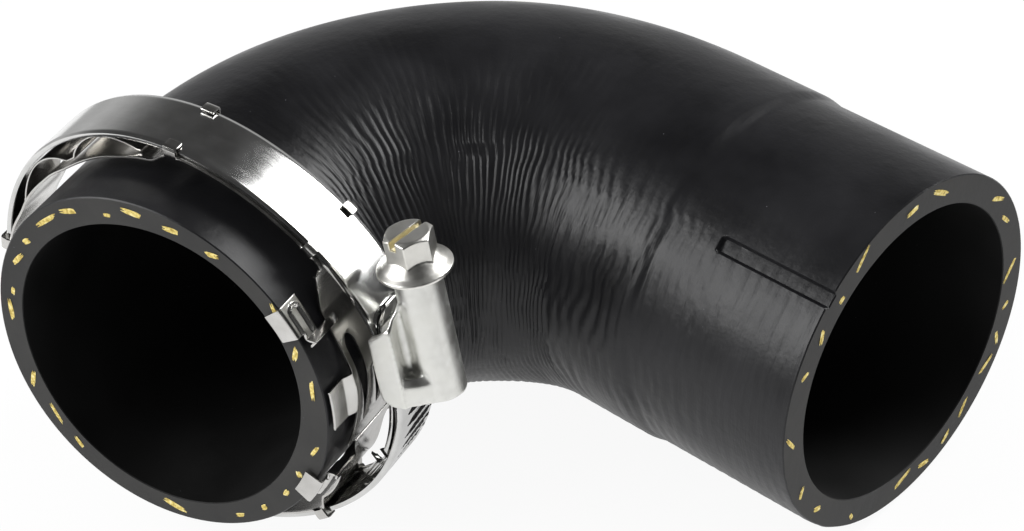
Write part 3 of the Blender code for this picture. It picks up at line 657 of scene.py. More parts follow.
# %% [markdown]
# ## Sheet work
# Band, liner and springs are bent from flat strip, so each starts as a thin surface: rows follow the
# clamp's angle and columns run across the strip. Solidify gives the strip its thickness inwards, and
# a small bevel gives the rolled edges that catch the light.

# %% Strip helper
SPRING_EDGE, FOLD_LIMIT = 0.00006, math.radians(50.0)


def bake(obj, smooth=35.0):
    """Turns an object with modifiers into a plain mesh."""
    graph = bpy.context.evaluated_depsgraph_get()
    mesh = bpy.data.meshes.new_from_object(obj.evaluated_get(graph))
    obj.modifiers.clear()
    old, obj.data = obj.data, mesh
    mesh.name = obj.name
    bpy.data.meshes.remove(old)
    mesh.shade_smooth()
    mesh.set_sharp_from_angle(angle=math.radians(smooth))
    return mesh


def strip_piece(name, degrees, radius, depth, keep, thickness, edge, material, node):
    """A strip from arrays of radius and depth, both rows by columns."""
    points = clamp_points(degrees[:, None], radius, depth)
    mesh = grid_mesh(name, place(points, REST @ MOUTH), keep=keep)
    along = np.radians(degrees)[:, None] * BAND_RADIUS
    flow = np.stack(np.broadcast_arrays(along, depth, radius), axis=-1)
    store(mesh, "strip_flow", "FLOAT_VECTOR", flow)
    with editing(mesh) as shape:
        drop_loose(shape)
    made = piece(name, mesh, (material,))
    sheet = made.modifiers.new("sheet", "SOLIDIFY")
    sheet.thickness, sheet.offset, sheet.use_even_offset = thickness, -1.0, True
    rounding = made.modifiers.new("rolled_edge", "BEVEL")
    rounding.width, rounding.segments = edge, 2
    rounding.limit_method, rounding.angle_limit = "ANGLE", FOLD_LIMIT
    bake(made)
    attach(made, "hose_and_clamp")
    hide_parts(node)
    print(name + ":", len(made.data.polygons), "faces")
    return made


# %% [markdown]
# ## Clamp band
# The band goes once round and its tip laps over its own tail inside the screw's housing. Its edges
# are rolled in slightly, so that they don't cut the rubber. The worm needs something to climb, so
# slanted lozenges are pressed into the last third of the strip. They are deep only on the worm's
# path and taper to a point on the front side.

# %% Band with its pressed thread
BAND_TAIL_ANGLE, BAND_TIP_ANGLE = -112.0, 294.0
THREAD_START, THREAD_END, THREAD_PITCH, THREAD_SLANT = 223.0, 292.0, 0.0025, 0.15
THREAD_DEPTH, LOZENGE_HALF_WIDTH, LOZENGE_WALL = 0.00050, 0.00095, 0.00012
TAIL_CORNER, TIP_CORNER, BAND_EDGE = 0.0030, 0.0042, 0.00016
EDGE_ROLL, EDGE_ROLL_WIDTH = 0.00022, 0.0007


def band_path(degrees):
    path = np.where(degrees < LAP_START_ANGLE, tail_radius(degrees), band_radius(degrees))
    return np.where(degrees > LAP_END_ANGLE + 360.0, tip_radius(degrees - 360.0), path)


def thread_dip(degrees, depth):
    """Lozenges that taper to a point near the front edge of the strip."""
    inward = depth - BAND_SETBACK
    across = inward / BAND_WIDTH
    run = (np.radians(degrees - THREAD_START) * BAND_RADIUS - THREAD_SLANT * inward) / THREAD_PITCH
    phase = np.abs(run - np.round(run)) * THREAD_PITCH
    width = LOZENGE_HALF_WIDTH * np.sqrt(hump(across, (0.24, 0.55), (0.84, 0.97)))
    shape = 1.0 - smooth_step(phase, width * 0.55, np.maximum(width, 1e-5) + LOZENGE_WALL)
    along = hump(degrees, (THREAD_START, THREAD_START + 1.5), (THREAD_END - 1.5, THREAD_END))
    return THREAD_DEPTH * shape * along * smooth_step(across, 0.2, 0.3)


band_angles = np.concatenate([
    np.arange(BAND_TAIL_ANGLE, BAND_TAIL_ANGLE + 5, 0.4),
    np.arange(BAND_TAIL_ANGLE + 5, THREAD_START - 1, 1.0),
    np.arange(THREAD_START - 1, BAND_TIP_ANGLE, 0.26), [BAND_TIP_ANGLE],
])
from_tail = np.radians(band_angles - BAND_TAIL_ANGLE) * BAND_RADIUS
from_tip = np.radians(BAND_TIP_ANGLE - band_angles) * BAND_RADIUS
tuck = np.zeros_like(band_angles)
for reach, corner in ((from_tail, TAIL_CORNER), (from_tip, TIP_CORNER)):
    inside = np.clip(corner - reach, 0.0, corner)
    tuck += corner - np.sqrt(corner * corner - inside * inside)
spread = np.concatenate([
    [0.0, 0.014, 0.028, 0.045, 0.065], np.linspace(0.09, 0.93, 36), [0.950, 0.965, 0.976, 0.988, 1.0],
])
depth = BAND_SETBACK + tuck[:, None] + (BAND_WIDTH - 2 * tuck[:, None]) * spread[None, :]
wide_angles = np.broadcast_to(band_angles[:, None], depth.shape)
from_edge = np.minimum(spread, 1.0 - spread) * BAND_WIDTH
rolled_edge = EDGE_ROLL * (1.0 - smooth_step(from_edge, 0.0, EDGE_ROLL_WIDTH))
radius = band_path(wide_angles) - thread_dip(wide_angles, depth) - rolled_edge[None, :]
strip_piece(
    "band", band_angles, radius, depth, None, BAND_THICKNESS, BAND_EDGE, band_polish,
    "clamp_band",
)

# %% [markdown]
# ## Spring liner
# One thin strip lies between band and rubber, so that the band stays round and keeps its grip as the
# rubber ages. Clips fold over both edges of the band, a middle tab and two hooks hold it to the
# rubber's end, and a beaded strap stiffens each hook. Each column is a fold line that runs round
# the clamp, and faces are left out where the real strip is cut away.

# %% Shape of the liner
LINER_THICKNESS, SPRING_THICKNESS, FIT_GAP, LINER_MARGIN = 0.00035, 0.0003, 0.0003, 0.0004
CLIP_ANGLES, CLIP_WIDTH, CLIP_REACH = (0.0, -43.0, 79.0, 105.0, 184.0, 216.0), 3.4, 0.0017
HOOK_STRAP_WIDTH, HOOK_FACE_RADIUS, HOOK_PLATE_SPAN, HOOK_STRAP_SPAN = 0.0038, 0.0283, 10.5, 14.0
RIDGE_ANGLE, RIDGE_HEIGHT, RIDGE_WIDTH, HOOK_AXIS_ANGLE, TAB_SPAN = 24.5, 0.0016, 3.0, -88.0, 14.0
STRAP_FRONT_SETBACK, TAB_BACK_SETBACK, LINER_FRONT_SETBACK = 0.0008, 0.0045, 0.0062
LINER_SPLIT = 1.8
FRONT_SLOT, REAR_SLOT = (0.0085, 0.0012, -70.0, -102.0), (0.0121, 0.0009, -84.0, -100.0)
BEAD_ANGLE, BEAD_REACH, LAP_MARGIN, SPRING_ROOM_FROM, SLOT_TOP = 31.5, 8.0, 4.0, 0.6, 0.1
LINER_STATIONS = (
    (0.0, 0.22), (24.0, 0.0), (27.0, 0.0), (42.0, 1.0), (88.0, 1.0), (96.0, 0.54), (108.0, 0.44),
    (126.0, 0.36), (134.0, 0.44), (151.0, 0.6), (167.0, 1.0), (180.0, 0.86), (193.0, 1.0),
    (209.0, 0.6), (226.0, 0.44), (234.0, 0.36), (252.0, 0.44), (264.0, 0.54), (270.0, 1.0),
    (305.0, 1.0), (309.0, 0.6), (330.0, 0.0), (336.0, 0.0), (360.0, 0.22),
)


def shift_at(angle):
    return BAND_SHIFT_UP * np.cos(angle) + BAND_SHIFT_OUT * np.sin(angle)


def rubber_face(degrees):
    angle = np.radians(degrees)
    rear = np.full_like(angle, BAND_SETBACK + BAND_WIDTH)
    return np.maximum(outer_radius(0 * angle, angle), outer_radius(rear, angle)) - shift_at(angle)


def liner_radius(degrees):
    low = rubber_face(degrees) + FIT_GAP + LINER_THICKNESS
    turned = degrees % 360.0
    lap = turned > 360.0 + BAND_TAIL_ANGLE - LAP_MARGIN
    high = np.where(lap, tail_radius(turned - 360.0), band_radius(degrees)) - BAND_THICKNESS - FIT_GAP
    room = SPRING_THICKNESS + FIT_GAP
    share = between((degrees - HOOK_AXIS_ANGLE) % 360.0, LINER_STATIONS)
    spring_share = np.maximum(0.0, (share - SPRING_ROOM_FROM) / (1.0 - SPRING_ROOM_FROM))
    return low + np.maximum(high - low - room, 0.0) * share + room * spring_share


def turned_by(degrees, middle):
    """The turn from a middle angle, between -180 and 180 degrees."""
    return (degrees - middle + 180.0) % 360.0 - 180.0


def away_from_middle(degrees):
    return np.abs(turned_by(degrees, HOOK_AXIS_ANGLE))


def in_clip(degrees):
    half = CLIP_WIDTH / 2 + 0.01
    return np.any([np.abs(turned_by(degrees, c)) < half for c in CLIP_ANGLES], axis=0)


def slot_edges(degrees, slot):
    """Front and rear edge of a slot that is round at its top and pointed at its lower end."""
    middle, half_width, top, bottom = slot
    turned = turned_by(degrees, HOOK_AXIS_ANGLE) + HOOK_AXIS_ANGLE
    share = np.clip((turned - top) / (bottom - top), 0.0, 1.0)
    rise = np.sqrt(np.clip(share / SLOT_TOP, 0.0, 1.0))
    fall = np.cos(math.pi / 2 * np.clip((share - SLOT_TOP) / (1.0 - SLOT_TOP), 0.0, 1.0)) ** 0.7
    half = half_width * rise * fall + 0.00002
    return middle - half, middle + half, (share > 0.0) & (share < 1.0)


front_edge, rear_edge = BAND_SETBACK - LINER_MARGIN, BAND_SETBACK + BAND_WIDTH + LINER_MARGIN
strap_end = RIDGE_ANGLE + HOOK_STRAP_SPAN
plate_start = strap_end - HOOK_PLATE_SPAN
liner_start = HOOK_AXIS_ANGLE - RIDGE_ANGLE + RIDGE_WIDTH / 2 + LINER_SPLIT / 3
liner_end = liner_start - LINER_SPLIT + 360.0
marks = [c + side * CLIP_WIDTH / 2 for c in CLIP_ANGLES for side in (-1, 1)]
for step_away in (
    RIDGE_ANGLE - RIDGE_WIDTH / 2, RIDGE_ANGLE, RIDGE_ANGLE + RIDGE_WIDTH / 2, plate_start, strap_end,
    TAB_SPAN / 2,
):
    marks += [HOOK_AXIS_ANGLE - step_away, HOOK_AXIS_ANGLE + step_away]
marks += [*FRONT_SLOT[2:], *REAR_SLOT[2:]]
marks = {round(m + r, 4) for m in marks for r in (0, 360) if liner_start < m + r < liner_end}
marks = np.array(sorted(marks))
even = np.arange(liner_start, liner_end, 1.0)
beads = [HOOK_AXIS_ANGLE + side * BEAD_ANGLE for side in (-1, 1)]
close_up = np.concatenate([
    np.arange(bead - BEAD_REACH, bead + BEAD_REACH, 0.3) + r for bead in beads for r in (0, 360)
])
even = np.sort(np.concatenate([even, close_up[(close_up > liner_start) & (close_up < liner_end)]]))
even = even[np.concatenate([[True], np.diff(even) > 0.15])]
spare = even[np.min(np.abs(even[:, None] - marks[None, :]), axis=1) > 0.14]
liner_angles = np.sort(np.concatenate([spare, marks, [liner_start, liner_end]]))
liner_angles = liner_angles[np.concatenate([[True], np.diff(liner_angles) > 0.01])]
print("liner rows:", len(liner_angles))

# %% Folds of the liner
t = liner_angles
away = away_from_middle(t)
clip = in_clip(t)
clip_top = band_radius(t) + FIT_GAP
ridge = RIDGE_HEIGHT * np.maximum(0.0, 1.0 - np.abs(away - RIDGE_ANGLE) / (RIDGE_WIDTH / 2))
hugging = rubber_face(t) + FIT_GAP + LINER_THICKNESS + ridge
body = liner_radius(t)
body_edge = np.where(away < strap_end + 0.1, LINER_FRONT_SETBACK, front_edge)
front_slot, rear_slot = slot_edges(t, FRONT_SLOT), slot_edges(t, REAR_SLOT)
fold = np.full_like(t, -FIT_GAP - LINER_THICKNESS)
flat = np.zeros_like(t)
corners = [
    (HOOK_FACE_RADIUS - shift_at(np.radians(t)), fold),
    (hugging, fold),
    (np.where(clip, clip_top, hugging), np.where(clip, front_edge + CLIP_REACH, STRAP_FRONT_SETBACK)),
    (np.where(clip, clip_top, hugging),
     np.where(clip, front_edge, np.where(away < TAB_SPAN, TAB_BACK_SETBACK, HOOK_STRAP_WIDTH))),
    (np.maximum(body, hugging), body_edge),
    (body, front_slot[0]), (body, front_slot[1]), (body, rear_slot[0]), (body, rear_slot[1]),
    (body, flat + rear_edge),
    (clip_top, flat + rear_edge), (clip_top, flat + rear_edge - CLIP_REACH),
]
middles = (t[1:] + t[:-1]) / 2
away_middle, clip_middle = away_from_middle(middles), in_clip(middles)
on_ridge = np.abs(away_middle - RIDGE_ANGLE) < RIDGE_WIDTH / 2
on_tab = away_middle < TAB_SPAN / 2
on_plate = (away_middle > plate_start) & (away_middle < strap_end)
on_strap = (away_middle > RIDGE_ANGLE - RIDGE_WIDTH / 2) & (away_middle < strap_end)
everywhere = np.ones_like(on_tab)
present = [
    on_plate, on_plate, on_strap | on_tab | clip_middle, on_ridge | on_tab | clip_middle, everywhere,
    ~slot_edges(middles, FRONT_SLOT)[2], everywhere, ~slot_edges(middles, REAR_SLOT)[2], everywhere,
    clip_middle, clip_middle,
]
corner_points = [np.stack(np.broadcast_arrays(*corner), axis=-1) for corner in corners]
FOLD_SIZES = (0, 0.00045, 0, 0.0003, 0.0003, 0, 0, 0, 0, 0.0003, 0.0003, 0)
SPLITS = (5, 7, 16, 5, 2, 2, 2, 2, 3, 2, 3)


def toward(start, goal, reach):
    """Points that lie a short way from the start on the way to the goal."""
    gap = np.linalg.norm(goal - start, axis=1)
    return start + (goal - start) / np.maximum(gap, 1e-9)[:, None] * reach[:, None]


def fold_reach(index):
    """How far a rounded fold reaches, which is at most a third of its shorter side."""
    here = corner_points[index]
    sides = [np.linalg.norm(corner_points[index + step] - here, axis=1) for step in (-1, 1)]
    return np.minimum(FOLD_SIZES[index], np.minimum(*sides) / 3)


columns, kept_faces = [corner_points[0]], []
for index, (here, goal) in enumerate(zip(corner_points, corner_points[1:])):
    if FOLD_SIZES[index] > 0:
        reach = fold_reach(index)
        entry, leave = toward(here, corner_points[index - 1], reach), toward(here, goal, reach)
        columns += [entry, 0.5 * here + 0.25 * (entry + leave), leave]
        kept_faces += [present[index - 1], present[index - 1], present[index]]
    elif index:
        columns.append(here)
        kept_faces.append(present[index - 1])
    start = columns[-1]
    if FOLD_SIZES[index + 1] > 0:
        goal = toward(goal, here, fold_reach(index + 1))
    for step in range(1, SPLITS[index]):
        columns.append(start + (goal - start) * step / SPLITS[index])
        kept_faces.append(present[index])
columns.append(corner_points[-1])
kept_faces.append(present[-1])
liner_radii, liner_depths = np.array(columns).transpose(2, 1, 0)
liner_keep = np.array(kept_faces).T

# %% Beads of the hook straps
BEAD_HALF_SPAN, BEAD_WIDTH, BEAD_HEIGHT, BEAD_MIDDLE = 0.00105, 0.00042, 0.00042, 0.0019
BEAD_END = 3.6


def bead_lift(degrees, depth):
    """A raised U on each hook strap: its legs run round the clamp and its closed end is outermost."""
    away = away_from_middle(degrees)
    run = np.radians(away) * BAND_RADIUS - np.radians(strap_end - BEAD_END) * BAND_RADIUS
    rise = np.abs(depth - BEAD_MIDDLE)
    path = np.abs(np.where(run > 0.0, np.hypot(np.maximum(run, 0.0), rise), rise) - BEAD_HALF_SPAN)
    reach = smooth_step(away, RIDGE_ANGLE + 1.0, RIDGE_ANGLE + 3.5)
    return BEAD_HEIGHT * (1.0 - smooth_step(path, BEAD_WIDTH * 0.1, BEAD_WIDTH)) * reach


wide = np.broadcast_to(liner_angles[:, None], liner_depths.shape)
on_strap_side = (away_from_middle(wide) > RIDGE_ANGLE) & (away_from_middle(wide) < strap_end + 0.05)
on_strap_side &= (liner_depths > -0.0001) & (liner_depths < HOOK_STRAP_WIDTH - 0.0001)
liner_radii = liner_radii + np.where(on_strap_side, bead_lift(wide, liner_depths), 0.0)
strip_piece(
    "liner", liner_angles, liner_radii, liner_depths, liner_keep.reshape(-1), LINER_THICKNESS,
    SPRING_EDGE, spring_polish, "spring_liner",
)

# %% [markdown]
# ## Wave springs
# Two bowed strips sit between band and liner at the top and at the bottom. They press the liner
# down as the rubber shrinks. Each is the same strip with a pair of bows.

# %% Wave springs
WAVE_MARGIN, BOW_REACH = 0.0009, 0.94
TOP_BOWS, BOTTOM_BOWS = ((12.0, 35.5), (38.5, 62.0)), ((122.0, 145.5), (148.5, 172.0))


def wave_radius(degrees, bows):
    low = liner_radius(degrees) + FIT_GAP + SPRING_THICKNESS
    high = band_radius(degrees) - BAND_THICKNESS - FIT_GAP
    share = np.zeros_like(degrees)
    for start, end in bows:
        bowed = np.sin(math.pi * np.clip((degrees - start) / (end - start), 0.0, 1.0)) ** 0.8
        share = np.where((degrees > start) & (degrees < end), bowed, share)
    return low + (high - low) * share * BOW_REACH


for name, bows in (("wave_spring_top", TOP_BOWS), ("wave_spring_bottom", BOTTOM_BOWS)):
    wave_angles = np.arange(bows[0][0] - 1.0, bows[-1][1] + 1.01, 0.5)
    across = np.linspace(BAND_SETBACK + WAVE_MARGIN, BAND_SETBACK + BAND_WIDTH - WAVE_MARGIN, 4)
    depth = np.broadcast_to(across[None, :], (len(wave_angles), 4))
    radius = np.broadcast_to(wave_radius(wave_angles, bows)[:, None], depth.shape)
    strip_piece(
        "sprung_" + name, wave_angles, radius, depth, None, SPRING_THICKNESS, SPRING_EDGE,
        spring_polish, name,
    )

# %% [markdown]
# ## Screw housing
# The housing is one pressing that was folded round the screw and under the band. Its corners are
# soft, so the plain forms are melted together with a fine voxel remesh and a little smoothing, as
# a press would draw them, and the sharp openings are cut afterwards.

# %% Helpers for solid forms
def prism(outline, bottom, top, shrink=1.0):
    """An outline in x and y, with one lower and upper height or one for each corner."""
    shape = bmesh.new()
    bottom, top = (np.broadcast_to(height, len(outline)) for height in (bottom, top))
    lower = [shape.verts.new((x, y, z)) for (x, y), z in zip(outline, bottom)]
    upper = [shape.verts.new((x * shrink, y * shrink, z)) for (x, y), z in zip(outline, top)]
    shape.faces.new(lower)
    shape.faces.new(upper)
    for index in range(len(outline)):
        after = (index + 1) % len(outline)
        shape.faces.new((lower[index], lower[after], upper[after], upper[index]))
    bmesh.ops.recalc_face_normals(shape, faces=shape.faces)
    return new_mesh(shape)


def rectangle(left, right, front, rear):
    return [(left, front), (right, front), (right, rear), (left, rear)]


def lathe(profile, sides=96):
    """Turns (radius, height) points about z into a closed mesh."""
    turn = np.linspace(0, 2 * math.pi, sides, endpoint=False)
    profile = np.array(profile)
    points = np.stack([
        profile[:, None, 0] * np.cos(turn), profile[:, None, 0] * np.sin(turn),
        np.broadcast_to(profile[:, None, 1], (len(profile), sides)),
    ], axis=-1)
    return outward(grid_mesh("form", points, wrap_columns=True))

def rod(radius, bottom, top):
    return lathe([(0, bottom), (radius, bottom), (radius, top), (0, top)])


def pipe(points, radius):
    """Short rods and balls along a path, to be melted into one rolled lip."""
    shape = bmesh.new()
    for start, end in zip(points, points[1:]):
        start, end = Vector(start), Vector(end)
        turned = (end - start).to_track_quat("Z", "Y").to_matrix().to_4x4()
        bmesh.ops.create_cone(
            shape, cap_ends=True, segments=16, radius1=radius, radius2=radius,
            depth=(end - start).length, matrix=Matrix.Translation((start + end) / 2) @ turned,
        )
        ball_at = Matrix.Translation(end)
        bmesh.ops.create_icosphere(shape, subdivisions=2, radius=radius, matrix=ball_at)
    return new_mesh(shape)


def solid(mesh, matrix=REST @ SCREW):
    mesh.transform(matrix)
    return add_object("form", mesh)


def drop(*objects):
    for obj in objects:
        bpy.data.objects.remove(obj)


def carve(obj, *cutters, smooth=35.0):
    """Shapes a form with (form, operation) pairs, and drops the forms that it was cut with."""
    for form, operation in cutters:
        made = obj.modifiers.new("cut", "BOOLEAN")
        made.operation, made.solver, made.object = operation, "EXACT", form
    bake(obj, smooth)
    drop(*(form for form, _ in cutters))


def melt(forms, voxel, rounds):
    """Joins closed forms into one skin and softens its corners."""
    joined = bmesh.new()
    for form in forms:
        joined.from_mesh(form.data)
    drop(*forms)
    made = add_object("melted", new_mesh(joined, "melted"))
    skin = made.modifiers.new("skin", "REMESH")
    skin.mode, skin.voxel_size = "VOXEL", voxel
    soft = made.modifiers.new("soft", "SMOOTH")
    soft.factor, soft.iterations = 0.5, rounds
    bake(made)
    return made


def dress(obj, name, material):
    """Names a finished form and gives it its one material."""
    obj.name = obj.data.name = name
    obj.data.materials.clear()
    obj.data.materials.append(material)

# %% Forms of the housing
HOUSING_SHEET, BARREL_CLEARANCE, BARREL_TOP, SADDLE_TOP = 0.0006, 0.0003, 0.0162, 0.0100
HOUSING_BOTTOM, HOUSING_LIP = 0.0062, 0.0008
SHOULDER_RISE, FLOOR_ROOM, WORM_LENGTH, NECK_RADIUS = 0.0003, 0.0005, 0.0188, 0.0021
HOUSING_VOXEL, HOUSING_SOFTENING, SADDLE_ROUND, LIP_RADIUS = 0.00015, 22, 0.0022, 0.00036
CAP_HEIGHT, SLOPE_HEIGHT, SLOPE_SHRINK, TUNNEL_REACH = 0.0038, 0.0014, 0.88, 26.0
barrel_inside = WORM_RADIUS + BARREL_CLEARANCE
barrel_outside = barrel_inside + HOUSING_SHEET
half_width = BAND_WIDTH / 2 + FIT_GAP + HOUSING_SHEET
shoulder = WORM_RADIUS + THREAD_ROOM - FIT_GAP - HOUSING_SHEET - SHOULDER_RISE
saddle_floor = WORM_RADIUS + THREAD_ROOM + LAP_SPACING + BAND_THICKNESS + FIT_GAP + FLOOR_ROOM
saddle_floor += HOUSING_SHEET


def both_sides(half):
    return half + [(x, -y, *rest_of) for x, y, *rest_of in reversed(half)]


saddle_corners = both_sides([
    (-saddle_floor, half_width, 0.0060), (-shoulder, half_width, 0.0083),
    (-shoulder, half_width - 0.0012, 0.0086), (-shoulder - 0.0003, barrel_outside * 0.95, 0.0098),
    (-shoulder + 0.0006, barrel_outside * 0.6, 0.0112),
])
outline = [(x, y) for x, y, _ in saddle_corners]
saddle_mesh = prism(outline, -HOUSING_BOTTOM, [top for *_, top in saddle_corners])
with editing(saddle_mesh) as shape:
    low_edges = [edge for edge in shape.edges if all(
        v.co.x < 1e-5 - saddle_floor and v.co.z < 1e-5 - HOUSING_BOTTOM for v in edge.verts
    )]
    bmesh.ops.bevel(
        shape, geom=low_edges, offset=SADDLE_ROUND, segments=8, profile=0.5, affect="EDGES",
    )
barrel_mesh = rod(barrel_outside, -HOUSING_BOTTOM + 0.0002, BARREL_TOP)
tent = both_sides([
    (-shoulder - 0.0008, half_width - 0.0001), (-shoulder + 0.0002, half_width - 0.0005),
    (barrel_outside * 0.22, barrel_outside * 0.98), (barrel_outside * 0.8, barrel_outside * 0.42),
])
cap_top = CAP_HEIGHT - HOUSING_BOTTOM
cap_mesh = prism(tent, -HOUSING_BOTTOM + 0.0001, cap_top)
slope_mesh = prism(tent, cap_top - 0.0001, cap_top + SLOPE_HEIGHT, SLOPE_SHRINK)
lips = []
for side in (-1.0, 1.0):
    lips.append(pipe([
        (-saddle_floor + 0.0008, side * (half_width - 0.0003), 0.0059),
        (-shoulder - 0.0008, side * (half_width - 0.0003), 0.0080),
        (-shoulder - 0.0003, side * (half_width - 0.0010), 0.0085),
        (-shoulder - 0.0003, side * 0.0046, 0.0093), (-shoulder + 0.0002, side * 0.0036, 0.0103),
        (-0.0022, side * 0.0031, 0.0114), (-0.0010, side * 0.0035, 0.0122),
    ], LIP_RADIUS))
forms = [solid(mesh) for mesh in (saddle_mesh, barrel_mesh, cap_mesh, slope_mesh, *lips)]
housing = melt(forms, HOUSING_VOXEL, HOUSING_SOFTENING)
print("melted housing:", len(housing.data.polygons), "faces")

# %% Dimples and openings of the housing
DIMPLE_DEPTH, VALLEY_DEPTH, SEAM_DEPTH, SEAM_ANGLE = 0.00035, 0.0003, 0.00018, 0.62
INTO_SCREW = (REST @ SCREW).inverted()


def hill(*terms):
    """A soft hill over (value, centre, size) terms, 1 at its top."""
    return np.exp(-sum(((value - centre) / size) ** 2 for value, centre, size in terms))


co = vertex_values(housing.data)
x, y, z = place(co, INTO_SCREW).T
press = np.zeros(len(co))
for side in (-1.0, 1.0):
    dimple = hill((x, -0.0012, 0.0018), (y, side * 0.0042, 0.0013), (z, -0.0012, 0.0011))
    valley = hill((y, side * 0.0036, 0.0007), (x, -0.0024, 0.0012))
    press += DIMPLE_DEPTH * dimple
    press += VALLEY_DEPTH * valley * hump(z, (-0.002, 0.001), (0.006, 0.009))
seam = hill((np.arctan2(y, x), SEAM_ANGLE, 0.10)) * smooth_step(np.hypot(x, y), 0.0032, 0.0036)
press += SEAM_DEPTH * seam * hump(z, (-0.0035, -0.001), (0.013, 0.015))
co = co - vertex_values(housing.data, "normal") * press[:, None]
housing.data.vertices.foreach_set("co", co.reshape(-1))
housing.data.update()

cavity_top = BARREL_TOP - HOUSING_LIP
cavity_bottom = cavity_top - WORM_LENGTH - 2 * FIT_GAP
cavity = solid(rod(barrel_inside, cavity_bottom, cavity_top))
neck_hole = solid(rod(NECK_RADIUS + FIT_GAP, 0, BARREL_TOP + 0.002))
window_half = 0.55 * WORM_RADIUS
window_outline = rectangle(-saddle_floor * 0.6, -0.15 * WORM_RADIUS, -window_half, window_half)
window = solid(prism(window_outline, cavity_bottom + 0.0002, SADDLE_TOP * 0.5))
tunnel_angles = np.arange(SCREW_ANGLE - TUNNEL_REACH, SCREW_ANGLE + TUNNEL_REACH + 0.1, 1.0)
outer_lap = tip_radius(tunnel_angles) + FIT_GAP
inner_lap = outer_lap - LAP_SPACING - BAND_THICKNESS - 2 * FIT_GAP
tunnel_front, tunnel_rear = BAND_SETBACK - FIT_GAP, BAND_SETBACK + BAND_WIDTH + FIT_GAP
loop = np.stack([clamp_points(tunnel_angles, lap, setback) for lap, setback in (
    (outer_lap, tunnel_front), (outer_lap, tunnel_rear), (inner_lap, tunnel_rear),
    (inner_lap, tunnel_front),
)], axis=1)
tunnel_mesh = grid_mesh("form", loop, wrap_columns=True)
with editing(tunnel_mesh) as shape:
    bmesh.ops.holes_fill(shape, edges=[edge for edge in shape.edges if edge.is_boundary])
    bmesh.ops.recalc_face_normals(shape, faces=shape.faces)
tunnel = solid(tunnel_mesh, REST @ MOUTH)
openings = [(form, "DIFFERENCE") for form in (tunnel, cavity, neck_hole, window)]
carve(housing, *openings, smooth=40.0)
dress(housing, "housing", housing_satin)
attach(housing, "hose_and_clamp")
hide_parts("screw_housing")
print("housing:", len(housing.data.polygons), "faces")

# %% [markdown]
# ## Worm screw
# Head and collar are one cold-headed lump: a chamfered hexagon with a driver slot, on a flared
# collar that stops it at the housing. The forms are melted in the same way, which rounds every edge.
# The worm's thread follows a helix, which Geometry Nodes draw as a curve with a profile swept along.

# %% Head and collar
COLLAR_RADIUS, COLLAR_RIM, COLLAR_CONE, COLLAR_TOP_RADIUS = 0.0059, 0.0006, 0.0022, 0.0042
HEAD_ACROSS_FLATS, HEAD_HEIGHT, HEAD_CHAMFER = 0.0070, 0.0037, 0.0005
HEAD_TURN, SLOT_TURN = math.radians(-10.0), math.radians(-14.0)
SLOT_WIDTH, SLOT_DEPTH, SLOT_REACH = 0.0011, 0.0015, 0.007
HEAD_VOXEL, HEAD_SOFTENING = 0.00011, 3
collar_bottom = BARREL_TOP + FIT_GAP
rim_top = collar_bottom + COLLAR_RIM
cone_top = rim_top + COLLAR_CONE
head_top = cone_top + HEAD_HEIGHT
flare = COLLAR_RADIUS - COLLAR_TOP_RADIUS
collar_mesh = lathe([
    (0, cone_top), (COLLAR_TOP_RADIUS * 0.80, cone_top), (COLLAR_TOP_RADIUS * 0.92, cone_top - 0.0005),
    (COLLAR_TOP_RADIUS + 0.1 * flare, rim_top + 0.5 * COLLAR_CONE),
    (COLLAR_TOP_RADIUS + 0.5 * flare, rim_top + 0.2 * COLLAR_CONE),
    (COLLAR_RADIUS, rim_top - 0.0001), (COLLAR_RADIUS, collar_bottom), (NECK_RADIUS, collar_bottom),
    (0, collar_bottom),
])
corner = HEAD_ACROSS_FLATS / math.sqrt(3.0)
hexagon = [math.pi / 3 * i + HEAD_TURN for i in range(6)]
hexagon = [(corner * math.cos(angle), corner * math.sin(angle)) for angle in hexagon]
head = solid(prism(hexagon, cone_top - COLLAR_CONE * 0.6, head_top))
trim = solid(lathe([
    (0, head_top + 0.0001), (corner - 2 * HEAD_CHAMFER, head_top + 0.0001),
    (corner + 0.0006, head_top - 0.0009), (corner + 0.0006, cone_top - COLLAR_CONE),
    (0, cone_top - COLLAR_CONE),
]))
slot_outline = rectangle(-SLOT_WIDTH / 2, SLOT_WIDTH / 2, -SLOT_REACH, SLOT_REACH)
slot_mesh = prism(slot_outline, head_top - SLOT_DEPTH, head_top + 0.001)
driver_slot = solid(slot_mesh, REST @ SCREW @ Matrix.Rotation(SLOT_TURN, 4, "Z"))
carve(head, (trim, "INTERSECT"), (driver_slot, "DIFFERENCE"))
screw_head = melt([head, solid(collar_mesh)], HEAD_VOXEL, HEAD_SOFTENING)
x, y, z = place(vertex_values(screw_head.data), INTO_SCREW).T
across_slot = np.abs(x * math.cos(SLOT_TURN) + y * math.sin(SLOT_TURN))
slot_floor = head_top - SLOT_DEPTH
in_slot = 1 - smooth_step(across_slot, SLOT_WIDTH * 0.45, SLOT_WIDTH * 0.75)
in_slot = in_slot * hump(z, (slot_floor - 0.0003, slot_floor), (head_top - 0.0004, head_top))
store(screw_head.data, "tint_mask", "FLOAT", in_slot)
dress(screw_head, "screw_head", screw_plate)
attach(screw_head, "screw")
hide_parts("worm_screw")
print("screw head:", len(screw_head.data.polygons), "faces")

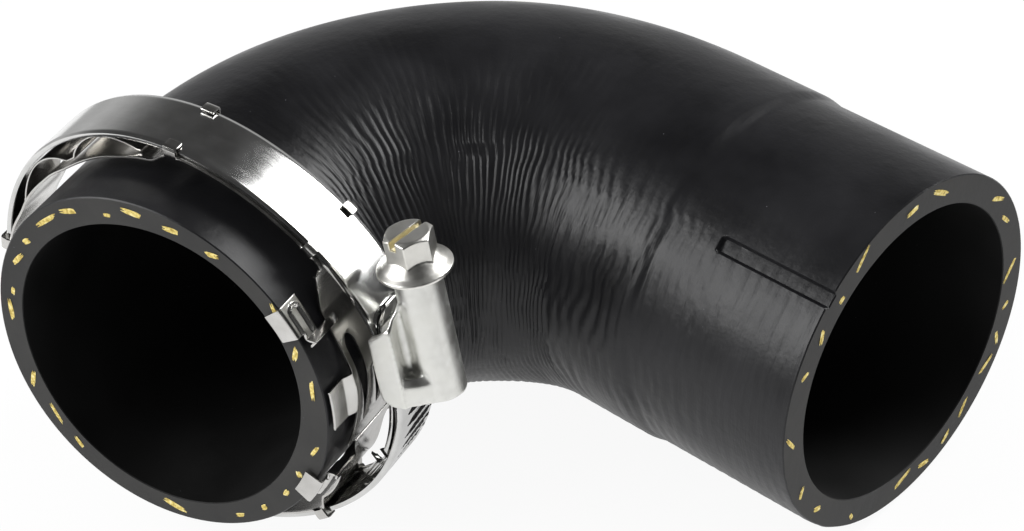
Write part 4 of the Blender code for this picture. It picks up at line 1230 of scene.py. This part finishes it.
# %% Worm and its thread
THREAD_TOOTH, THREAD_RUN_OUT, WORM_END = 0.0006, 0.0015, 0.0003
worm_top = BARREL_TOP - HOUSING_LIP - FIT_GAP
worm_bottom = worm_top - WORM_LENGTH
worm_core = WORM_RADIUS - THREAD_TOOTH
shaft_mesh = lathe([
    (0, collar_bottom + WORM_END), (NECK_RADIUS, collar_bottom + WORM_END), (NECK_RADIUS, worm_top),
    (worm_core, worm_top - WORM_END), (worm_core, worm_bottom + WORM_END),
    (worm_core - 0.0005, worm_bottom), (0, worm_bottom),
])
shaft_mesh.transform(REST @ SCREW)
shaft = piece("screw_shaft", shaft_mesh, (screw_plate,), smooth=35.0)
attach(shaft, "screw")


def new_geometry_tree(name, inputs):
    tree = bpy.data.node_groups.new(name, "GeometryNodeTree")
    tree.interface.new_socket("Geometry", in_out="INPUT", socket_type="NodeSocketGeometry")
    tree.interface.new_socket("Geometry", in_out="OUTPUT", socket_type="NodeSocketGeometry")
    for socket, kind in inputs:
        tree.interface.new_socket(socket, in_out="INPUT", socket_type=kind)
    return tree, tree.nodes.new("NodeGroupInput"), tree.nodes.new("NodeGroupOutput")


def grow(name, tree, values, matrix):
    """Evaluates a geometry tree with its inputs set, and returns the result as a plain mesh."""
    carrier = add_object(name, bpy.data.meshes.new(name))
    grown = carrier.modifiers.new("grow", "NODES")
    grown.node_group = tree
    for item in tree.interface.items_tree:
        if item.in_out == "INPUT" and item.name in values:
            grown[item.identifier] = values[item.name]
    bake(carrier, 40.0)
    carrier.data.transform(matrix)
    return carrier


def finish_geometry(tree, geometry, material, result):
    """Ends a geometry tree with real faces in one material."""
    real = add_node(tree, "GeometryNodeRealizeInstances", {"Geometry": geometry}).outputs[0]
    values = {"Geometry": real, "Material": material}
    dressed = add_node(tree, "GeometryNodeSetMaterial", values)
    tree.links.new(dressed.outputs[0], result.inputs["Geometry"])


helix_tree, group_in, result = new_geometry_tree("worm_thread", (
    ("Turns", "NodeSocketFloat"), ("Length", "NodeSocketFloat"), ("Radius", "NodeSocketFloat"),
    ("Tooth", "NodeSocketFloat"), ("Material", "NodeSocketMaterial"),
))
given = group_in.outputs
spiral = add_node(helix_tree, "GeometryNodeCurveSpiral", {
    "Resolution": 40, "Rotations": given["Turns"], "Start Radius": given["Radius"],
    "End Radius": given["Radius"], "Height": given["Length"],
}).outputs[0]
level_curve = add_node(helix_tree, "GeometryNodeSetCurveNormal", {
    "Curve": spiral,
}, mode="Z_UP").outputs[0]
tooth = add_node(helix_tree, "GeometryNodeCurvePrimitiveCircle", {
    "Resolution": 4, "Radius": given["Tooth"],
}, mode="RADIUS").outputs[0]
swept = add_node(helix_tree, "GeometryNodeCurveToMesh", {
    "Curve": level_curve, "Profile Curve": tooth, "Fill Caps": True,
}).outputs[0]
finish_geometry(helix_tree, swept, given["Material"], result)
thread_length = WORM_LENGTH - 2 * THREAD_RUN_OUT
turns = thread_length / THREAD_PITCH
worm_thread = grow("screw_thread", helix_tree, {
    "Turns": turns, "Length": thread_length, "Radius": worm_core, "Tooth": THREAD_TOOTH,
    "Material": screw_plate,
}, REST @ SCREW @ Matrix.Translation((0, 0, worm_bottom + THREAD_RUN_OUT)))
outward(worm_thread.data)
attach(worm_thread, "screw")
print("worm thread:", len(worm_thread.data.polygons), "faces over", round(turns, 1), "turns")

# %% [markdown]
# ## Yarn in the cut faces
# Aramid yarn is knitted into the middle of the rubber wall, and the blade leaves its ends standing
# in both faces as short yellow strokes. Strokes of chance length and angle along a ring suit
# Geometry Nodes: one small tuft is scattered over the points of a circle.

# %% Yarn material and tuft
STRAND_SIDES, STRAND_RINGS, STRAND_RADIUS, STRAND_FLATNESS = 6, 6, 0.14, 0.8
STRANDS = ((-0.16, 0.05, 0.10), (0.02, -0.04, 0.16), (0.17, 0.09, 0.08))
yarn_fibre, tree = new_material("yarn_fibre")
strands = clouds(tree, object_place(tree), 1800.0, 2.0)
yellow = ramp(tree, strands, (
    (0.35, (0.42, 0.30, 0.06)), (0.55, (0.75, 0.60, 0.18)), (0.75, (0.85, 0.78, 0.45)),
))
finish_surface(tree, yellow, 0.7, strands, 0.5, 0.00005)

tuft_shape = bmesh.new()
for offset, lean, bend in STRANDS:
    loops = []
    for x in np.linspace(-0.5, 0.5, STRAND_RINGS):
        swell = STRAND_RADIUS * math.sqrt(max(0.0, 1.0 - (2 * x) ** 2)) + 0.01
        middle = offset + lean * x + bend * (0.25 - x * x)
        around = [2 * math.pi * k / STRAND_SIDES for k in range(STRAND_SIDES)]
        loops.append([tuft_shape.verts.new((
            x, middle + swell * math.cos(angle), swell * STRAND_FLATNESS * math.sin(angle),
        )) for angle in around])
    for first, second in zip(loops, loops[1:]):
        for k in range(STRAND_SIDES):
            after = (k + 1) % STRAND_SIDES
            tuft_shape.faces.new((first[k], first[after], second[after], second[k]))
    tuft_shape.faces.new(list(reversed(loops[0])))
    tuft_shape.faces.new(loops[-1])
bmesh.ops.recalc_face_normals(tuft_shape, faces=tuft_shape.faces)
tuft = add_object("tuft", new_mesh(tuft_shape, "tuft"))

# %% Scatter of the yarn ends
def chance_vector(tree, seed, low, high):
    values = {"Seed": seed, 0: low, 1: high}
    return add_node(tree, "FunctionNodeRandomValue", values, data_type="FLOAT_VECTOR").outputs[0]


yarn_tree, group_in, result = new_geometry_tree("yarn_ends", (
    ("Count", "NodeSocketInt"), ("Radius", "NodeSocketFloat"), ("Scatter", "NodeSocketFloat"),
    ("Shortest", "NodeSocketVector"), ("Longest", "NodeSocketVector"), ("Kept", "NodeSocketFloat"),
    ("Seed", "NodeSocketInt"), ("Tuft", "NodeSocketObject"), ("Material", "NodeSocketMaterial"),
))
given = group_in.outputs
ring = add_node(yarn_tree, "GeometryNodeMeshCircle", {
    "Vertices": given["Count"], "Radius": given["Radius"],
}).outputs[0]
shake = chance_vector(yarn_tree, given["Seed"], (-1.0, -1.0, 0.0), (1.0, 1.0, 0.0))
shaken = add_node(yarn_tree, "ShaderNodeVectorMath", {
    0: shake, "Scale": given["Scatter"],
}, operation="SCALE").outputs[0]
moved = add_node(yarn_tree, "GeometryNodeSetPosition", {"Geometry": ring, "Offset": shaken}).outputs[0]
second_seed = compute(yarn_tree, "ADD", given["Seed"], 7.0)
kept = add_node(yarn_tree, "FunctionNodeRandomValue", {
    "Seed": second_seed, "Probability": given["Kept"],
}, data_type="BOOLEAN").outputs[3]
place_at = add_node(yarn_tree, "GeometryNodeInputPosition").outputs[0]
toward_rim = add_node(yarn_tree, "FunctionNodeAlignRotationToVector", {"Vector": place_at}, axis="Y")
sway = chance_vector(yarn_tree, second_seed, (-0.15, -0.15, -0.75), (0.15, 0.15, 0.75))
swayed = add_node(yarn_tree, "FunctionNodeRotateRotation", {
    "Rotation": toward_rim.outputs[0], "Rotate By": sway,
}, rotation_space="LOCAL").outputs[0]
source = add_node(yarn_tree, "GeometryNodeObjectInfo", {"Object": given["Tuft"]}).outputs["Geometry"]
scattered = add_node(yarn_tree, "GeometryNodeInstanceOnPoints", {
    "Points": moved, "Selection": kept, "Instance": source, "Rotation": swayed,
    "Scale": chance_vector(yarn_tree, given["Seed"], given["Shortest"], given["Longest"]),
}).outputs[0]
finish_geometry(yarn_tree, scattered, given["Material"], result)

YARN_RING, YARN_STAND = 0.0285, 0.00012
plain_centre, plain_side, _ = [Vector(v) for v in centreline(ELBOW_LENGTH - END_INSET)]
plain_mouth = matrix_from((UP, plain_side, UP.cross(plain_side)), plain_centre)
clamped_mouth = MOUTH @ Matrix.Translation((0.0, 0.0, -END_INSET))
for name, seed, matrix, station in (
    ("yarn_clamped_mouth", 4, clamped_mouth, 0.0), ("yarn_plain_mouth", 11, plain_mouth, ELBOW_LENGTH),
):
    yarn = grow(name, yarn_tree, {
        "Count": 28, "Radius": YARN_RING, "Scatter": 0.0007, "Shortest": (0.0014, 0.0011, 0.0006),
        "Longest": (0.0066, 0.0018, 0.0009), "Kept": 0.76, "Seed": seed, "Tuft": tuft,
        "Material": yarn_fibre,
    }, Matrix.Identity(4))
    co = vertex_values(yarn.data)
    angle = np.arctan2(co[:, 1], co[:, 0])
    along = np.full_like(angle, station)
    wanted = (outer_radius(along, angle) + inner_radius(along, angle)) / 2
    co[:, :2] *= (wanted / YARN_RING)[:, None]
    co[:, 2] = YARN_STAND * np.tanh(co[:, 2] / YARN_STAND)
    yarn.data.vertices.foreach_set("co", co.reshape(-1))
    yarn.data.transform(REST @ matrix)
    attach(yarn, "hose_and_clamp")
    print(name + ":", len(yarn.data.polygons), "faces")
drop(tuft)

# %% [markdown]
# ## Studio
# The part lies on a white floor between two soft boxes, which draw the long highlights on the bend.
# The camera sees floor and world as plain white. As light they are a little darker, so the black
# rubber keeps its depth. In reflections the world is a room with walls that darken upwards and are
# shaded in two directions, which gives the polished steel its dark and light bands.

# %% Floor
FLOOR_HALF, FLOOR_SIDES, FLOOR_DROP = 0.24, 96, 0.0002
FLOOR_NEAR, FLOOR_MIRRORED = 0.93, 0.64
floor_material, tree = new_material("floor_white")
path = add_node(tree, "ShaderNodeLightPath").outputs
reach = compute_vector(tree, "LENGTH", object_place(tree), output="Value")
reach = compute(tree, "MULTIPLY", reach, 1.0 / FLOOR_HALF)
fading = ramp(tree, reach, ((0.45, FLOOR_NEAR), (0.9, 1.0)))
straight = compute(tree, "MULTIPLY", path["Is Camera Ray"], fading)
mirrored = compute(tree, "MULTIPLY", path["Is Glossy Ray"], FLOOR_MIRRORED)
seen = compute(tree, "MAXIMUM", straight, mirrored)
plain = add_node(tree, "ShaderNodeBsdfDiffuse", {"Color": grey(0.9)}).outputs[0]
white = add_node(tree, "ShaderNodeEmission", {"Color": grey(1.0), "Strength": 1.0}).outputs[0]
finish_material(tree, add_node(tree, "ShaderNodeMixShader", {0: seen, 1: plain, 2: white}))
rim = [2 * math.pi * i / FLOOR_SIDES for i in range(FLOOR_SIDES)]
rim = [(FLOOR_HALF * math.cos(angle), FLOOR_HALF * math.sin(angle), 0.0) for angle in rim]
floor_mesh = bpy.data.meshes.new("floor")
floor_mesh.from_pydata(rim, [], [list(range(FLOOR_SIDES))])
floor_mesh.materials.append(floor_material)
floor = add_object("floor", floor_mesh)
floor.location.z = cad_low.z - FLOOR_DROP
print("floor is", 2 * FLOOR_HALF, "m across")

# %% World
SHADED_SIDES = (((0.75, -0.66, 0.0), 0.0, 0.6), ((0.74, 0.67, 0.0), 0.45, 0.85))
SHADE, WORLD_LIGHT = 0.12, 0.62
world = bpy.data.worlds.new("studio")
bpy.context.scene.world = world
world.use_nodes = True
tree = world.node_tree
tree.nodes.clear()
path = add_node(tree, "ShaderNodeLightPath").outputs
toward_sky = add_node(tree, "ShaderNodeTexCoord").outputs["Generated"]
height = add_node(tree, "ShaderNodeSeparateXYZ", {0: toward_sky}).outputs["Z"]
height = compute(tree, "MULTIPLY_ADD", height, 0.5, 0.5)
studio = ramp(tree, height, (
    (0.0, 0.9), (0.40, 0.45), (0.50, 0.55), (0.60, 0.40), (0.72, 0.10), (0.85, 0.05),
))
for shaded_side, light_until, dark_from in SHADED_SIDES:
    facing = compute_vector(tree, "DOT_PRODUCT", toward_sky, shaded_side, output="Value")
    shaded = ramp(tree, facing, ((light_until, 1.0), (dark_from, SHADE)))
    studio = mixed_colour(tree, 1.0, studio, shaded, blend_type="MULTIPLY")
reflected = mixed_colour(tree, path["Is Glossy Ray"], grey(WORLD_LIGHT), studio)
direct = compute(tree, "ADD", path["Is Camera Ray"], path["Is Transmission Ray"])
colour = mixed_colour(tree, direct, reflected, grey(1.0))
background = add_node(tree, "ShaderNodeBackground", {"Color": colour, "Strength": 1.0})
add_node(tree, "ShaderNodeOutputWorld", {"Surface": background.outputs[0]})

# %% Soft boxes
SOFT_BOX_AIM, SOFT_BOX_DISTANCE = Vector((0.0, 0.0, 0.04)), 0.9


def soft_box(name, azimuth, elevation, width, height, power):
    away_from = direction(math.radians(azimuth), math.radians(elevation))
    light = bpy.data.lights.new(name, "AREA")
    light.shape = "RECTANGLE"
    light.size, light.size_y = width, height
    light.energy = power
    made = add_object(name, light)
    made.location = SOFT_BOX_AIM + away_from * SOFT_BOX_DISTANCE
    made.rotation_mode = "QUATERNION"
    made.rotation_quaternion = away_from.to_track_quat("Z", "Y")
    print(name, "gives", round(power / (math.pi * width * height), 1), "times white")


soft_box("back_box", 159.0, 34.5, 0.40, 0.66, 6.6)
soft_box("front_box", -34.0, 30.0, 0.62, 0.50, 6.4)

# %% View settings and finish
bpy.context.scene.view_settings.view_transform = "Standard"
